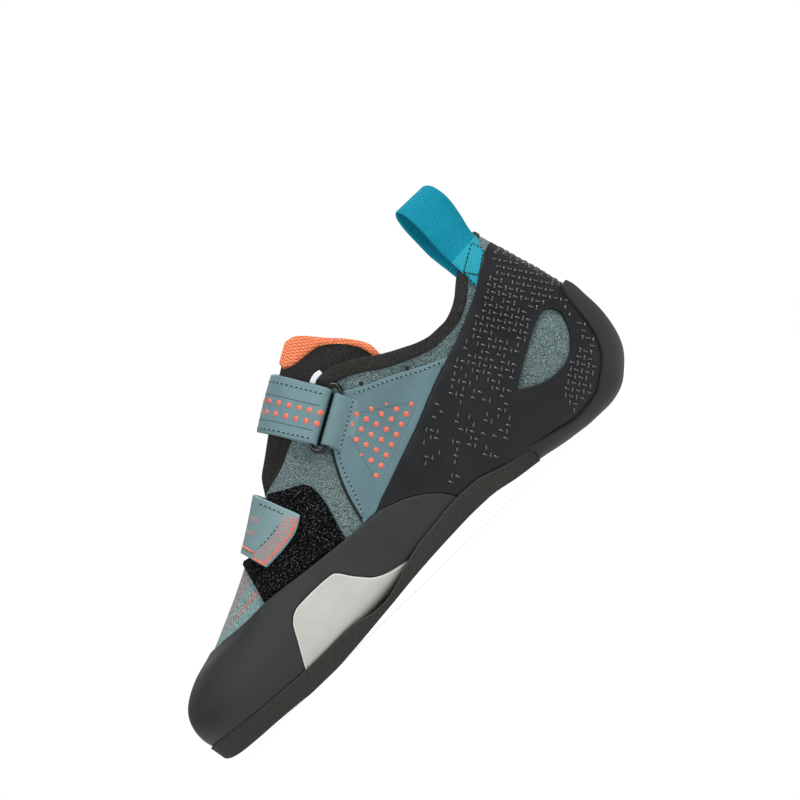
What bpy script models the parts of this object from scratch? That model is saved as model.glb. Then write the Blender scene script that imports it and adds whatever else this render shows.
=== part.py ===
"""Climbing shoe for the right foot, closed by two straps.

Tables and sizes are in millimetres: x from the toe, y from the long axis with the
inner (medial) side negative, z above the floor. The objects are in metres, with the
toe towards -X, the heel towards +X and the inner side towards -Y.
"""

import math

import bmesh
import bpy
import numpy as np

MM = 0.001
CENTRE_X = 127.6
CENTRE_Y = -0.6
GAP = 0.3
FAR = 90.0

# Layers, as distances from the outside of the upper.
UPPER_WALL = 1.8
RAND = 1.8
RAND_OUT = GAP + RAND
SOLE_IN = RAND_OUT + GAP
CUP_OUT = SOLE_IN + 2.4
INSERT_OUT = 1.9
PANEL_OUT = 1.5
PAD_OUT = 1.8
TONGUE_WALL = 2.4
INSOLE = 2.2
INSOLE_OUT = -UPPER_WALL - GAP

# Outsole edge.
LIP = 1.3
LEAN = 1.2
EDGE_RADIUS = 2.0
SOLE_END = 190.2

# Straps, ring and pull loop.
STRAP_WIDTH = 25.4
WEB = 1.3
WIRE = 2.0
RING_LENGTH = 32.3
RING_BARS = 7.0
RING_RISE = 3.15
SLOT = (135.65, 80.6)
ACROSS = (0.862, 0.507)
DOWN = (0.507, -0.862)
LOOP_WIDTH = 20.0
LOOP_MIDDLE = (228.2, -17.0)
LOOP_YAW = 30.0
LOOP_TOP = 124.0

RINGS = 22
LOW_STEPS = 5
TOP_STEPS = 7
TURN_WEIGHT = 0.9

# The last, with the upper on it. medial, ridge and lateral are y; the others are z.
LAST_COLUMNS = (
    "from_toe", "bottom", "wide", "top", "medial", "ridge", "lateral", "low", "high",
)
LAST_ROWS = (
    (2.4, 19.5, 19.5, 19.5, -13.0, -13.0, -13.0, 2.2, 2.2),
    (5.0, 11.6, 19.3, 28.6, -25.5, -13.0, -0.5, 2.4, 2.2),
    (10.0, 9.3, 19.0, 33.2, -32.0, -13.0, 7.5, 2.7, 2.2),
    (20.0, 7.6, 18.5, 38.2, -38.0, -12.5, 17.5, 3.2, 2.2),
    (30.0, 6.8, 18.0, 42.2, -41.3, -12.0, 24.5, 3.6, 2.2),
    (50.0, 5.5, 17.5, 51.3, -43.8, -11.0, 33.8, 4.0, 2.1),
    (70.0, 5.7, 17.5, 61.8, -44.0, -10.0, 39.8, 4.0, 2.05),
    (100.0, 8.2, 20.0, 82.3, -39.5, -8.0, 43.0, 4.0, 2.1),
    (130.0, 11.0, 24.0, 104.5, -30.8, -5.0, 40.5, 4.2, 2.2),
    (150.0, 12.0, 26.5, 116.8, -26.4, -2.5, 37.0, 4.4, 2.4),
    (170.0, 10.6, 27.5, 126.0, -25.8, -0.5, 34.3, 4.4, 2.7),
    (190.0, 8.0, 28.0, 129.0, -27.2, 0.0, 32.0, 4.0, 2.8),
    (205.0, 5.9, 28.0, 129.5, -28.3, 0.0, 30.6, 3.4, 2.8),
    (218.0, 4.5, 28.0, 128.5, -28.0, 0.0, 29.3, 3.0, 2.8),
    (227.0, 4.6, 28.5, 123.5, -26.6, 0.0, 27.4, 2.9, 2.7),
    (235.0, 6.3, 29.5, 98.5, -23.8, 0.0, 24.2, 2.7, 2.5),
    (241.6, 11.2, 31.5, 76.0, -19.4, 0.0, 19.6, 2.4, 2.3),
    (246.5, 17.2, 33.5, 60.0, -13.6, 0.0, 13.7, 2.2, 2.2),
    (250.2, 35.5, 35.5, 35.5, 0.0, 0.0, 0.0, 2.2, 2.2),
)

# The outsole: its tread line and the top of its edge, both z.
SOLE_ROWS = (
    (1.0, 11.4, 12.9),
    (2.7, 5.2, 12.8),
    (5.0, 3.6, 12.5),
    (9.0, 2.6, 12.1),
    (18.0, 1.9, 11.2),
    (30.0, 1.4, 10.2),
    (44.0, 0.5, 9.4),
    (50.0, 0.0, 9.1),
    (63.0, 0.0, 9.1),
    (75.0, 0.9, 9.6),
    (100.0, 3.5, 11.6),
    (120.0, 5.7, 13.8),
    (140.0, 7.1, 16.0),
    (154.0, 7.7, 17.4),
    (163.0, 7.6, 17.0),
    (178.0, 5.2, 12.9),
    (191.0, 3.6, 10.3),
)

# Outlines in the side view, (x, z). Each run is one smooth curve; runs meet at corners.
RAND_TOP = (
    (33.1, 45.6), (39.0, 43.9), (47.5, 42.8), (61.4, 42.6), (85.5, 39.9), (105.2, 38.0),
    (124.5, 36.6),
)
RAND_REAR = (
    (124.5, 36.6), (134.0, 33.6), (142.8, 28.9), (150.8, 21.6), (153.6, 16.0), (154.5, 0.0),
)
INSERT_TOP = (
    (54.2, 8.6), (60.4, 20.3), (65.4, 28.6), (71.0, 31.3), (80.1, 31.6), (90.8, 31.1),
    (97.8, 23.3), (103.3, 17.5), (109.3, 14.5), (115.5, 12.9),
)
HEEL_RAND_FRONT = (
    (124.8, 37.4), (128.5, 39.2), (135.8, 41.8), (146.6, 45.9), (163.6, 52.3), (174.0, 56.9),
    (185.2, 61.4), (200.4, 66.7), (211.0, 71.4), (220.0, 75.8), (228.5, 81.5), (235.0, 85.6),
    (239.0, 87.2), (243.0, 87.8),
)
WINDOW = (
    (204.0, 33.0), (213.1, 28.1), (220.6, 26.3), (227.2, 26.8), (233.4, 30.1), (239.5, 37.2),
    (241.8, 43.6), (239.9, 48.0), (236.2, 49.7), (231.1, 48.4), (222.6, 44.3), (211.7, 37.9),
)
CUP_TOP = (
    (190.6, 10.3), (205.8, 6.2), (214.0, 4.4), (226.1, 5.6), (236.5, 11.8), (242.6, 17.3),
    (247.0, 26.4), (249.0, 38.2), (250.0, 49.0), (252.0, 52.6), (258.0, 53.0),
)
PAD_EDGE = ((93.9, 76.1), (99.7, 72.8), (110.6, 65.6), (111.2, 61.6), (106.4, 38.9))
PAD_FRONT = ((61.8, 43.6), (64.5, 52.0), (66.4, 58.4))
PANEL_TOP = ((144.0, 80.5), (154.0, 82.3), (167.0, 76.0), (180.9, 69.0), (190.4, 64.9))
PANEL_FRONT = ((117.2, 39.0), (120.3, 51.3), (125.3, 63.2), (130.5, 72.6))
THROAT = (
    (63.0, 57.0), (80.0, 66.2), (94.4, 75.6), (106.6, 79.2), (116.6, 83.9), (130.0, 89.2),
    (141.9, 93.8),
)
COLLAR = (
    (141.9, 93.8), (148.2, 95.6), (158.7, 92.0), (173.5, 85.4), (187.4, 79.0), (199.1, 75.9),
    (209.3, 79.2), (218.3, 86.2), (229.0, 91.6), (239.0, 94.6), (250.0, 95.4),
)
TONGUE_EDGE = (
    (136.0, 118.4), (141.0, 117.4), (145.0, 116.5), (149.0, 115.4), (152.5, 112.4),
    (156.0, 108.6), (160.0, 104.6), (167.0, 97.0), (170.4, 90.0), (170.2, 82.0),
)
TONGUE_LOW = (
    (56.0, 47.0), (80.0, 58.0), (94.0, 66.0), (116.0, 73.0), (140.0, 80.0), (158.0, 78.0),
    (170.2, 76.0),
)
LINING_LOW = (
    (137.9, 103.0), (142.4, 107.6), (149.5, 108.0), (153.8, 106.6), (162.6, 100.0),
    (167.0, 94.0), (168.3, 88.0),
)
LOWER_STRAP_FRONT = ((66.0, 70.0), (68.6, 64.5), (72.4, 53.5), (77.6, 42.4))
LOWER_STRAP_BACK = ((105.4, 40.8), (98.6, 59.8), (91.6, 76.0), (88.0, 84.0))
TAB_END = (
    (64.0, 53.6), (71.3, 53.5), (80.4, 53.7), (91.0, 55.1), (97.7, 58.6), (101.0, 61.5),
)
COLLAR_TAPE = 6.0

COLOURS = {
    "upper": (0.165, 0.255, 0.255),
    "insole": (0.50, 0.46, 0.38),
    "outsole": (0.040, 0.042, 0.043),
    "heel_cup": (0.040, 0.042, 0.043),
    "toe_rand": (0.034, 0.036, 0.037),
    "rand_insert": (0.57, 0.57, 0.54),
    "heel_rand": (0.040, 0.042, 0.043),
    "loop_pad": (0.010, 0.010, 0.010),
    "side_panel": (0.145, 0.250, 0.265),
    "strap_ring": (0.008, 0.008, 0.008),
    "upper_strap": (0.145, 0.250, 0.265),
    "lower_strap": (0.145, 0.250, 0.265),
    "tongue": (0.014, 0.013, 0.013),
    "tongue_lining": (0.85, 0.17, 0.05),
    "collar_binding": (0.012, 0.012, 0.012),
    "pull_loop": (0.012, 0.33, 0.45),
}


def through(knots, values, at):
    """A smooth curve through the values that adds no peak of its own."""
    knots = np.asarray(knots, float)
    values = np.asarray(values, float)
    at = np.clip(np.asarray(at, float), knots[0], knots[-1])
    step = np.diff(knots)
    rise = np.diff(values) / step
    slope = np.zeros(len(knots))
    same = rise[1:] * rise[:-1] > 0
    near = 2 * step[1:] + step[:-1]
    far = step[1:] + 2 * step[:-1]
    safe_low = np.where(same, rise[:-1], 1.0)
    safe_high = np.where(same, rise[1:], 1.0)
    slope[1:-1] = np.where(same, (near + far) / (near / safe_low + far / safe_high), 0.0)
    slope[0] = rise[0]
    slope[-1] = rise[-1]
    k = np.clip(np.searchsorted(knots, at, side="right") - 1, 0, len(step) - 1)
    t = (at - knots[k]) / step[k]
    h = step[k]
    return (
        (1 + 2 * t) * (1 - t) ** 2 * values[k]
        + t * (1 - t) ** 2 * h * slope[k]
        + t * t * (3 - 2 * t) * values[k + 1]
        + t * t * (t - 1) * h * slope[k + 1]
    )


def ease(t):
    t = np.clip(t, 0.0, 1.0)
    return t * t * (3 - 2 * t)


def run(points, step=5.0):
    """The smooth curve through side-view points, as points about one step apart."""
    points = np.asarray(points, float)
    length = np.concatenate([[0], np.cumsum(np.linalg.norm(np.diff(points, axis=0), axis=1))])
    at = np.linspace(0, length[-1], max(2, round(length[-1] / step) + 1))
    return np.column_stack([through(length, points[:, 0], at), through(length, points[:, 1], at)])


def shifted(points, distance):
    """A curve moved to its left by a distance."""
    along = np.gradient(points, axis=0)
    along = along / np.linalg.norm(along, axis=1)[:, None]
    return points + distance * np.column_stack([-along[:, 1], along[:, 0]])


def joined(*runs):
    """Runs put end to end, without repeating a point."""
    kept = []
    for point in np.vstack(runs):
        if not kept or np.linalg.norm(point - kept[-1]) > 0.05:
            kept.append(point)
    if np.linalg.norm(kept[0] - kept[-1]) < 0.05:
        kept.pop()
    return np.array(kept)


LAST = np.array(LAST_ROWS)
TOE_END = LAST[0, 0]
HEEL_END = LAST[-1, 0]


def turn_of(from_toe):
    """Half a turn from the toe to the heel, so that both ends come out round."""
    share = (np.asarray(from_toe, float) - TOE_END) / (HEEL_END - TOE_END)
    return np.arccos(1 - 2 * np.clip(share, 0, 1))


LAST_TURNS = turn_of(LAST[:, 0])
FINE = np.linspace(0, math.pi / 2, 97)


def last_at(from_toe):
    turn = turn_of(from_toe)
    return {
        name: float(through(LAST_TURNS, LAST[:, k], turn))
        for k, name in enumerate(LAST_COLUMNS)
        if k
    }


def quarter(width, height, power, shares):
    """Points of a quarter section, from its end on the height to its end on the width."""
    y = width * np.sin(FINE) ** (2 / power)
    z = height * np.clip(np.cos(FINE), 0, 1) ** (2 / power)
    dy = np.diff(y)
    dz = np.diff(z)
    length = np.hypot(dy, dz)
    facing = np.arctan2(-dz, dy)
    turned = np.abs(np.diff(facing, prepend=0.0))
    measure = length / length.sum() + TURN_WEIGHT * turned / (math.pi / 2)
    measure = np.concatenate([[0], np.cumsum(measure)])
    at = np.asarray(shares) * measure[-1]
    return np.interp(at, measure, y), np.interp(at, measure, z)


def section(from_toe, around):
    """Points of the upper's outside. around runs 0 bottom, 1 medial, 2 ridge, 3 lateral."""
    row = last_at(from_toe)
    around = np.asarray(around, float)
    points = np.empty((len(around), 3))
    points[:, 0] = from_toe
    for k in range(4):
        here = (around >= k) & (around < k + 1)
        share = around[here] - k
        side = row["medial"] if k < 2 else row["lateral"]
        low = k in (0, 3)
        end = row["bottom"] if low else row["top"]
        power = row["low"] if low else row["high"]
        from_height = share if k in (0, 2) else 1 - share
        y, z = quarter(abs(side - row["ridge"]), abs(end - row["wide"]), power, from_height)
        points[here, 1] = row["ridge"] + (-y if k < 2 else y)
        points[here, 2] = row["wide"] + (-z if low else z)
    return points


AROUND = np.concatenate(
    [
        k + np.arange(steps) / steps
        for k, steps in enumerate((LOW_STEPS, TOP_STEPS, TOP_STEPS, LOW_STEPS))
    ]
)
STATION_TURNS = np.linspace(0, math.pi, RINGS + 1)[1:-1]
STATIONS = TOE_END + (HEEL_END - TOE_END) * (1 - np.cos(STATION_TURNS)) / 2
SKIN = np.array([section(x, AROUND) for x in STATIONS])


def skin_normals():
    along = np.gradient(SKIN, axis=0)
    round_it = np.roll(SKIN, -1, axis=1) - np.roll(SKIN, 1, axis=1)
    facing = np.cross(along, round_it)
    return facing / np.linalg.norm(facing, axis=2)[:, :, None]


SKIN_NORMALS = skin_normals()


def place(point):
    return ((point[0] - CENTRE_X) * MM, (point[1] - CENTRE_Y) * MM, point[2] * MM)


def new_object(name, bm):
    bmesh.ops.recalc_face_normals(bm, faces=bm.faces)
    mesh = bpy.data.meshes.new(name)
    bm.to_mesh(mesh)
    bm.free()
    obj = bpy.data.objects.new(name, mesh)
    bpy.context.scene.collection.objects.link(obj)
    return obj


def loft(name, rings, first=None, last=None):
    """Closed rings of points skinned in order, each end closed by a point or a flat face."""
    bm = bmesh.new()
    loops = [[bm.verts.new(place(p)) for p in ring] for ring in rings]
    count = len(loops[0])
    for a, b in zip(loops, loops[1:]):
        for j in range(count):
            bm.faces.new((a[j], a[(j + 1) % count], b[j]))
            bm.faces.new((a[(j + 1) % count], b[(j + 1) % count], b[j]))
    for loop, tip in ((loops[0], first), (loops[-1], last)):
        if tip is None:
            bm.faces.new(loop)
            continue
        point = bm.verts.new(place(tip))
        for j in range(count):
            bm.faces.new((loop[j], loop[(j + 1) % count], point))
    return new_object(name, bm)


def form(offset):
    """The closed outside of the upper, moved out by a distance or by a rule (x, around)."""
    if callable(offset):
        out = np.array([offset(x, AROUND) for x in STATIONS])
        ends = (float(out[0].mean()), float(out[-1].mean()))
    else:
        out = np.full(SKIN.shape[:2], float(offset))
        ends = (offset, offset)
    rings = SKIN + out[:, :, None] * SKIN_NORMALS
    toe = (TOE_END - ends[0], LAST[0, 5], LAST[0, 2])
    heel = (HEEL_END + ends[1], LAST[-1, 5], LAST[-1, 2])
    return loft("form", rings, toe, heel)


def prism(outline, y_from=-FAR, y_to=FAR):
    """A side-view outline drawn out along y."""
    bm = bmesh.new()
    face = bm.faces.new([bm.verts.new(place((x, y_from, z))) for x, z in outline])
    made = bmesh.ops.extrude_face_region(bm, geom=[face])
    far_end = [v for v in made["geom"] if isinstance(v, bmesh.types.BMVert)]
    bmesh.ops.translate(bm, verts=far_end, vec=(0, (y_to - y_from) * MM, 0))
    return new_object("prism", bm)


def plan_prism(outline, z_from, z_to):
    """A top-view outline drawn out along z."""
    bm = bmesh.new()
    face = bm.faces.new([bm.verts.new(place((x, y, z_from))) for x, y in outline])
    made = bmesh.ops.extrude_face_region(bm, geom=[face])
    far_end = [v for v in made["geom"] if isinstance(v, bmesh.types.BMVert)]
    bmesh.ops.translate(bm, verts=far_end, vec=(0, 0, (z_to - z_from) * MM))
    return new_object("prism", bm)


def carve(obj, tool, operation="DIFFERENCE"):
    """One exact Boolean, applied, and its tool removed."""
    modifier = obj.modifiers.new("carve", "BOOLEAN")
    modifier.operation = operation
    modifier.solver = "EXACT"
    modifier.object = tool
    bpy.context.view_layer.update()
    graph = bpy.context.evaluated_depsgraph_get()
    mesh = bpy.data.meshes.new_from_object(obj.evaluated_get(graph))
    obj.modifiers.clear()
    obj.data = mesh
    bpy.data.objects.remove(tool)
    return obj


def patch(outline, inside, outside, y_from=-FAR, y_to=FAR):
    """The part of the layer between two forms that lies behind a side-view outline."""
    obj = carve(form(outside), prism(outline, y_from, y_to), "INTERSECT")
    return carve(obj, form(inside))


def finish(name, obj):
    obj.name = name
    obj.data.name = name
    material = bpy.data.materials.new(name)
    material.use_nodes = True
    shader = material.node_tree.nodes["Principled BSDF"]
    shader.inputs["Base Color"].default_value = (*COLOURS[name], 1)
    shader.inputs["Roughness"].default_value = 0.75
    obj.data.materials.clear()
    obj.data.materials.append(material)
    return obj


def sole_rim(x):
    rows = np.array(SOLE_ROWS)
    return through(rows[:, 0], rows[:, 2], x)


def sole_tread(x):
    rows = np.array(SOLE_ROWS)
    return through(rows[:, 0], rows[:, 1], x)


def upper():
    over = [(250.0, 150.0), (58.0, 150.0), (58.0, 72.0), (63.0, 66.0)]
    outline = joined(run(THROAT, 8.0), run(COLLAR, 9.5), over)
    obj = carve(form(0.0), form(-UPPER_WALL))
    carve(obj, prism(outline))
    stations = np.linspace(26.0, 230.0, 18)
    rows = [last_at(x) for x in stations]
    inner = [(x, r["medial"] + 15.0) for x, r in zip(stations, rows)]
    outer = [(x, r["lateral"] - 15.0) for x, r in zip(stations, rows)]
    return carve(obj, plan_prism(inner + outer[::-1], -10.0, 17.0))


def insole():
    stations = np.linspace(8.0, 246.0, 21)
    top = [(x, last_at(x)["bottom"] + UPPER_WALL + GAP + INSOLE) for x in stations]
    outline = [(8.0, -10.0)] + top + [(246.0, -10.0)]
    return carve(form(INSOLE_OUT), prism(outline), "INTERSECT")


def sole_outline():
    """The plan of the outsole's edge: the foot at the height of the rim, moved out."""
    start = TOE_END
    while last_at(start)["bottom"] > sole_rim(start):
        start += 0.05
    stations = start + (SOLE_END + 4 - start) * (1 - np.cos(np.linspace(0, math.pi / 2, 60)))
    sides = {"medial": [], "lateral": []}
    for x in stations:
        row = last_at(x)
        drop = np.clip((row["wide"] - sole_rim(x)) / (row["wide"] - row["bottom"]), 0, 1)
        reach = (1 - drop ** row["low"]) ** (1 / row["low"])
        for side, points in sides.items():
            points.append((x, row["ridge"] + (row[side] - row["ridge"]) * reach))
    edge = shifted(np.array(sides["lateral"][::-1] + sides["medial"][1:]), -(SOLE_IN + LIP))
    toe = int(np.argmin(edge[:, 0]))
    return edge[: toe + 1][::-1], edge[toe:]


def outsole():
    lateral, medial = sole_outline()
    start = lateral[0, 0]
    rings = []
    for turn in np.linspace(0.055, math.pi / 2, 22):
        x = start + (SOLE_END - start) * (1 - math.cos(turn))
        ym = float(np.interp(x, medial[:, 0], medial[:, 1]))
        yl = float(np.interp(x, lateral[:, 0], lateral[:, 1]))
        rim = float(sole_rim(x))
        tread = float(sole_tread(x))
        radius = min(EDGE_RADIUS, 0.2 * (yl - ym), 0.4 * (rim - tread))
        lean = min(LEAN, 0.08 * (yl - ym))
        wall = (
            (0.0, rim),
            (0.5 * lean, 0.55 * rim + 0.45 * tread),
            (lean, tread + radius),
            (lean + 0.3 * radius, tread + 0.3 * radius),
            (lean + radius, tread),
        )
        left = [(ym + inset, z) for inset, z in wall]
        right = [(yl - inset, z) for inset, z in wall]
        flat = [(left[-1][0] + t * (right[-1][0] - left[-1][0]), tread) for t in (0.25, 0.5, 0.75)]
        lid = [(ym + t * (yl - ym), rim) for t in (0.75, 0.5, 0.25)]
        rings.append([(x, y, z) for y, z in left + flat + right[::-1] + lid])
    return carve(loft("slab", rings), form(SOLE_IN))


def heel_cup():
    def outside(x, around):
        return CUP_OUT - 1.3 * ease((208.0 - x) / 18.0) + 0.0 * around

    outline = joined(run(CUP_TOP), [(268.0, 53.0), (268.0, 0.0), (190.6, 0.0)])
    return patch(outline, SOLE_IN, outside)


def toe_rand():
    outline = joined(run(RAND_TOP), run(RAND_REAR), [(-12.0, 0.0), (-12.0, 60.0), (31.0, 60.0)])
    obj = patch(outline, GAP, RAND_OUT)
    return carve(obj, prism(insert_outline(GAP), -FAR, 0.0))


def insert_outline(grow=0.0):
    """The inlay's outline, whose lower edge is hidden behind the outsole's lip."""
    top = shifted(run(INSERT_TOP, 3.0), grow)
    low = np.array([(x, sole_rim(x) - 1.2 - grow) for x in np.linspace(top[-1, 0], top[0, 0], 12)])
    return joined(top, low)


def rand_insert():
    return patch(insert_outline(), GAP, INSERT_OUT, -FAR, 0.0)


def heel_rand():
    rear = shifted(run(RAND_REAR), 0.4)
    outline = joined(run(HEEL_RAND_FRONT)[::-1], rear, [(268.0, 0.0), (268.0, 87.8)])
    obj = patch(outline, GAP, RAND_OUT)
    return carve(obj, prism(run(WINDOW + WINDOW[:1], 3.0)[:-1]))


def loop_pad():
    throat = run(((66.4, 58.4), (80.0, 65.6), (93.9, 75.2)))
    outline = joined(run(PAD_FRONT), throat, run(PAD_EDGE)[1:], [(85.5, 40.8), (62.2, 43.5)])
    return patch(outline, GAP, PAD_OUT, -FAR, -9.0)


class Girth:
    """The upper's outside cut by planes across the instep: points by (s, n, w)."""

    def __init__(self):
        self.around = np.linspace(1.0, 3.0, 81)
        self.widths = np.linspace(-16.0, 16.0, 9)
        self.lines = np.array([[self.solve(a, w) for a in self.around] for w in self.widths])
        ridge = len(self.around) // 2
        step = np.linalg.norm(np.diff(self.lines, axis=1), axis=2)
        length = np.concatenate([np.zeros((len(self.widths), 1)), np.cumsum(step, axis=1)], axis=1)
        self.s = length[:, ridge : ridge + 1] - length
        along = np.gradient(self.lines, axis=1)
        across = np.gradient(self.lines, axis=0)
        facing = np.cross(across, along)
        self.normals = facing / np.linalg.norm(facing, axis=2)[:, :, None]

    @staticmethod
    def solve(around, w):
        low, high = 20.0, 235.0
        for _ in range(26):
            x = 0.5 * (low + high)
            z = section(x, [around])[0, 2]
            if (x - SLOT[0]) * ACROSS[0] + (z - SLOT[1]) * ACROSS[1] < w:
                low = x
            else:
                high = x
        return section(x, [around])[0]

    def point(self, s, n, w):
        k = int(np.clip(np.searchsorted(self.widths, w) - 1, 0, len(self.widths) - 2))
        share = (w - self.widths[k]) / (self.widths[k + 1] - self.widths[k])
        ends = []
        for row in (k, k + 1):
            at = self.s[row][::-1]
            base = [np.interp(s, at, self.lines[row][::-1, c]) for c in range(3)]
            facing = [np.interp(s, at, self.normals[row][::-1, c]) for c in range(3)]
            ends.append(np.array(base) + n * np.array(facing))
        return ends[0] + share * (ends[1] - ends[0])

    def s_at_slot(self):
        """Where the middle line comes down to the slot on the inner side."""
        middle = self.lines[len(self.widths) // 2]
        down = (middle[:, 0] - SLOT[0]) * DOWN[0] + (middle[:, 2] - SLOT[1]) * DOWN[1]
        inner = slice(0, len(self.around) // 2)
        return float(np.interp(0.0, down[inner][::-1], self.s[len(self.widths) // 2][inner][::-1]))

    def s_at_height(self, z):
        """Where the middle line comes down to a height on the outer side."""
        middle = self.lines[len(self.widths) // 2]
        outer = slice(len(self.around) // 2, None)
        return float(np.interp(-z, -middle[outer, 2], self.s[len(self.widths) // 2][outer]))


def ribbon(name, path, width, columns, at):
    """A strip of WEB thickness along a path of (s, n), mapped by at(s, n, w)."""
    path = np.asarray(path, float)
    along = np.gradient(path, axis=0)
    along = along / np.linalg.norm(along, axis=1)[:, None]
    side = 0.5 * WEB * np.column_stack([-along[:, 1], along[:, 0]])
    across = np.linspace(-width / 2, width / 2, columns)
    rings = []
    for upper_edge, lower_edge in zip(path + side, path - side):
        outer = [at(*upper_edge, w) for w in across]
        inner = [at(*lower_edge, w) for w in across[::-1]]
        rings.append(outer + inner)
    return loft(name, rings)


def fold(s, n, start, end, steps=6):
    """The bend of a strip round a bar."""
    radius = 0.5 * WIRE + 1.6 * GAP + 0.5 * WEB
    turns = np.radians(np.linspace(start, end, steps))
    return [(s + radius * math.cos(t), n + radius * math.sin(t)) for t in turns]


def upper_strap(girth):
    bar = girth.s_at_slot() - 0.5 * RING_BARS
    fixed = girth.s_at_height(62.0)
    free = girth.s_at_height(74.0)
    low = [
        (fixed, 1.2), (fixed + 12.0, 1.2), (-26.0, 1.3), (-13.0, 2.3), (0.0, 2.7), (12.0, 2.3),
        (21.0, 1.5), (bar - 2.5, 1.05),
    ]
    high = [
        (bar - 5.0, 4.6), (19.0, 3.6), (11.0, 4.0), (0.0, 4.35), (-13.0, 4.0), (-26.0, 3.0),
        (free, 2.85),
    ]
    path = np.vstack([run(low, 6.0), fold(bar, RING_RISE, -90, 90), run(high, 6.0)])
    return ribbon("strip", path, STRAP_WIDTH, 4, girth.point)


def strap_ring(girth):
    slot = girth.s_at_slot()
    half = 0.5 * RING_BARS
    straight = 0.5 * (RING_LENGTH - WIRE) - half
    middle = girth.point(slot, RING_RISE, 0.0)
    down = girth.point(slot + 3.0, RING_RISE, 0.0) - girth.point(slot - 3.0, RING_RISE, 0.0)
    across = girth.point(slot, RING_RISE, 9.0) - girth.point(slot, RING_RISE, -9.0)
    down = down / np.linalg.norm(down)
    across = across / np.linalg.norm(across)
    up = np.cross(down, across)
    rings = []
    for end, first in ((straight, 90.0), (-straight, 270.0)):
        for turn in np.radians(first - np.linspace(0, 180, 7)):
            out = np.array([math.sin(turn), math.cos(turn)])
            centre = middle + half * out[0] * down + (end + half * out[1]) * across
            ring = []
            for t in np.linspace(0, 2 * math.pi, 9)[:-1]:
                reach = out[0] * down + out[1] * across
                ring.append(centre + 0.5 * WIRE * (math.cos(t) * reach + math.sin(t) * up))
            rings.append(ring)
    bm = bmesh.new()
    loops = [[bm.verts.new(place(p)) for p in ring] for ring in rings]
    for a, b in zip(loops, loops[1:] + loops[:1]):
        for j in range(8):
            bm.faces.new((a[j], a[(j + 1) % 8], b[(j + 1) % 8], b[j]))
    return new_object("ring", bm)


def side_panel(girth):
    rear = shifted(run(HEEL_RAND_FRONT), 0.4)
    rear = rear[(rear[:, 0] > 123.5) & (rear[:, 0] < 190.0)]
    outline = joined(run(PANEL_FRONT), run(PANEL_TOP), rear[::-1], [(119.0, 38.4)])
    obj = patch(outline, GAP, PANEL_OUT, -FAR, 0.0)
    bar = girth.s_at_slot() + 0.5 * RING_BARS
    path = (
        [(bar + 2.5, 1.0)] + fold(bar, RING_RISE, -90, -270)
        + [(bar + 3.0, 4.6), (bar + 6.5, 3.0), (bar + 10.0, 1.3), (bar + 14.0, 0.95)]
    )
    return carve(obj, ribbon("strip", path, STRAP_WIDTH - 2.0, 5, girth.point), "UNION")


def lower_strap():
    def inside(x, around):
        return 0.9 + 1.2 * ease((2.4 - around) / 0.5)

    def outside(x, around):
        return inside(x, around) + 1.6

    outline = joined(run(LOWER_STRAP_FRONT), run(LOWER_STRAP_BACK))
    obj = patch(outline, inside, outside)
    end = joined(run(TAB_END), [(112.0, 61.5), (112.0, 30.0), (64.0, 30.0)])
    return carve(obj, prism(end, -FAR, -9.0))


def tongue_out(x, around):
    """The tongue fills the throat and lies under the upper beside it."""
    under = -2.6 - 2.6 * ease((x - 86.0) / 40.0)
    reach = np.clip(0.11 + (x - 95.0) * 0.012, 0.10, 0.46)
    swell = (1.5 - under) * ease((x - 92.0) / 9.0)
    return under + swell * (0.5 + 0.5 * np.cos(math.pi * np.clip(np.abs(around - 2) / reach, 0, 1)))


def moved(rule, distance):
    return lambda x, around: rule(x, around) + distance


def tongue():
    front = [(52.0, 47.0), (52.0, 70.0), (110.0, 118.4)]
    outline = joined(run(TONGUE_LOW, 12.0)[::-1], front, run(TONGUE_EDGE, 6.5))
    return patch(outline, moved(tongue_out, -TONGUE_WALL), tongue_out)


def edge_tape(edge, below, rule, wall, thick, outline):
    """A tape folded over an edge of a wall: the wall lies below the edge."""
    obj = patch(outline, moved(rule, -wall - GAP - thick), moved(rule, GAP + thick))
    core = patch(joined(shifted(edge, GAP), below), moved(rule, -wall - GAP), moved(rule, GAP))
    return carve(obj, core)


def tongue_lining():
    edge = run(TONGUE_EDGE, 6.5)
    edge = edge[edge[:, 1] > 87.5]
    out = shifted(edge, GAP + 1.0)
    low = run(LINING_LOW, 7.0)
    outline = joined(out[out[:, 0] > 138.6], low[::-1])
    below = [(edge[-1, 0], 70.0), (100.0, 70.0), (100.0, 124.0)]
    return edge_tape(edge, below, tongue_out, TONGUE_WALL, 1.0, outline)


def collar_binding():
    def level(x, around):
        return 0.0 * around

    edge = run(COLLAR, 9.5)
    out = shifted(edge, GAP + 1.0)
    tape = COLLAR_TAPE - 3.6 * ease((edge[:, 0] - 216.0) / 14.0)
    low = edge + (shifted(edge, -1.0) - edge) * tape[:, None]
    behind = 0.5 * STRAP_WIDTH + 1.0
    low = low[(low - SLOT) @ np.array(ACROSS) > behind]
    out = out[(out - SLOT) @ np.array(ACROSS) > behind]
    below = [(250.0, 40.0), (100.0, 40.0), (100.0, edge[0, 1])]
    return edge_tape(edge, below, level, UPPER_WALL, 1.0, joined(out, low[::-1]))


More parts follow.
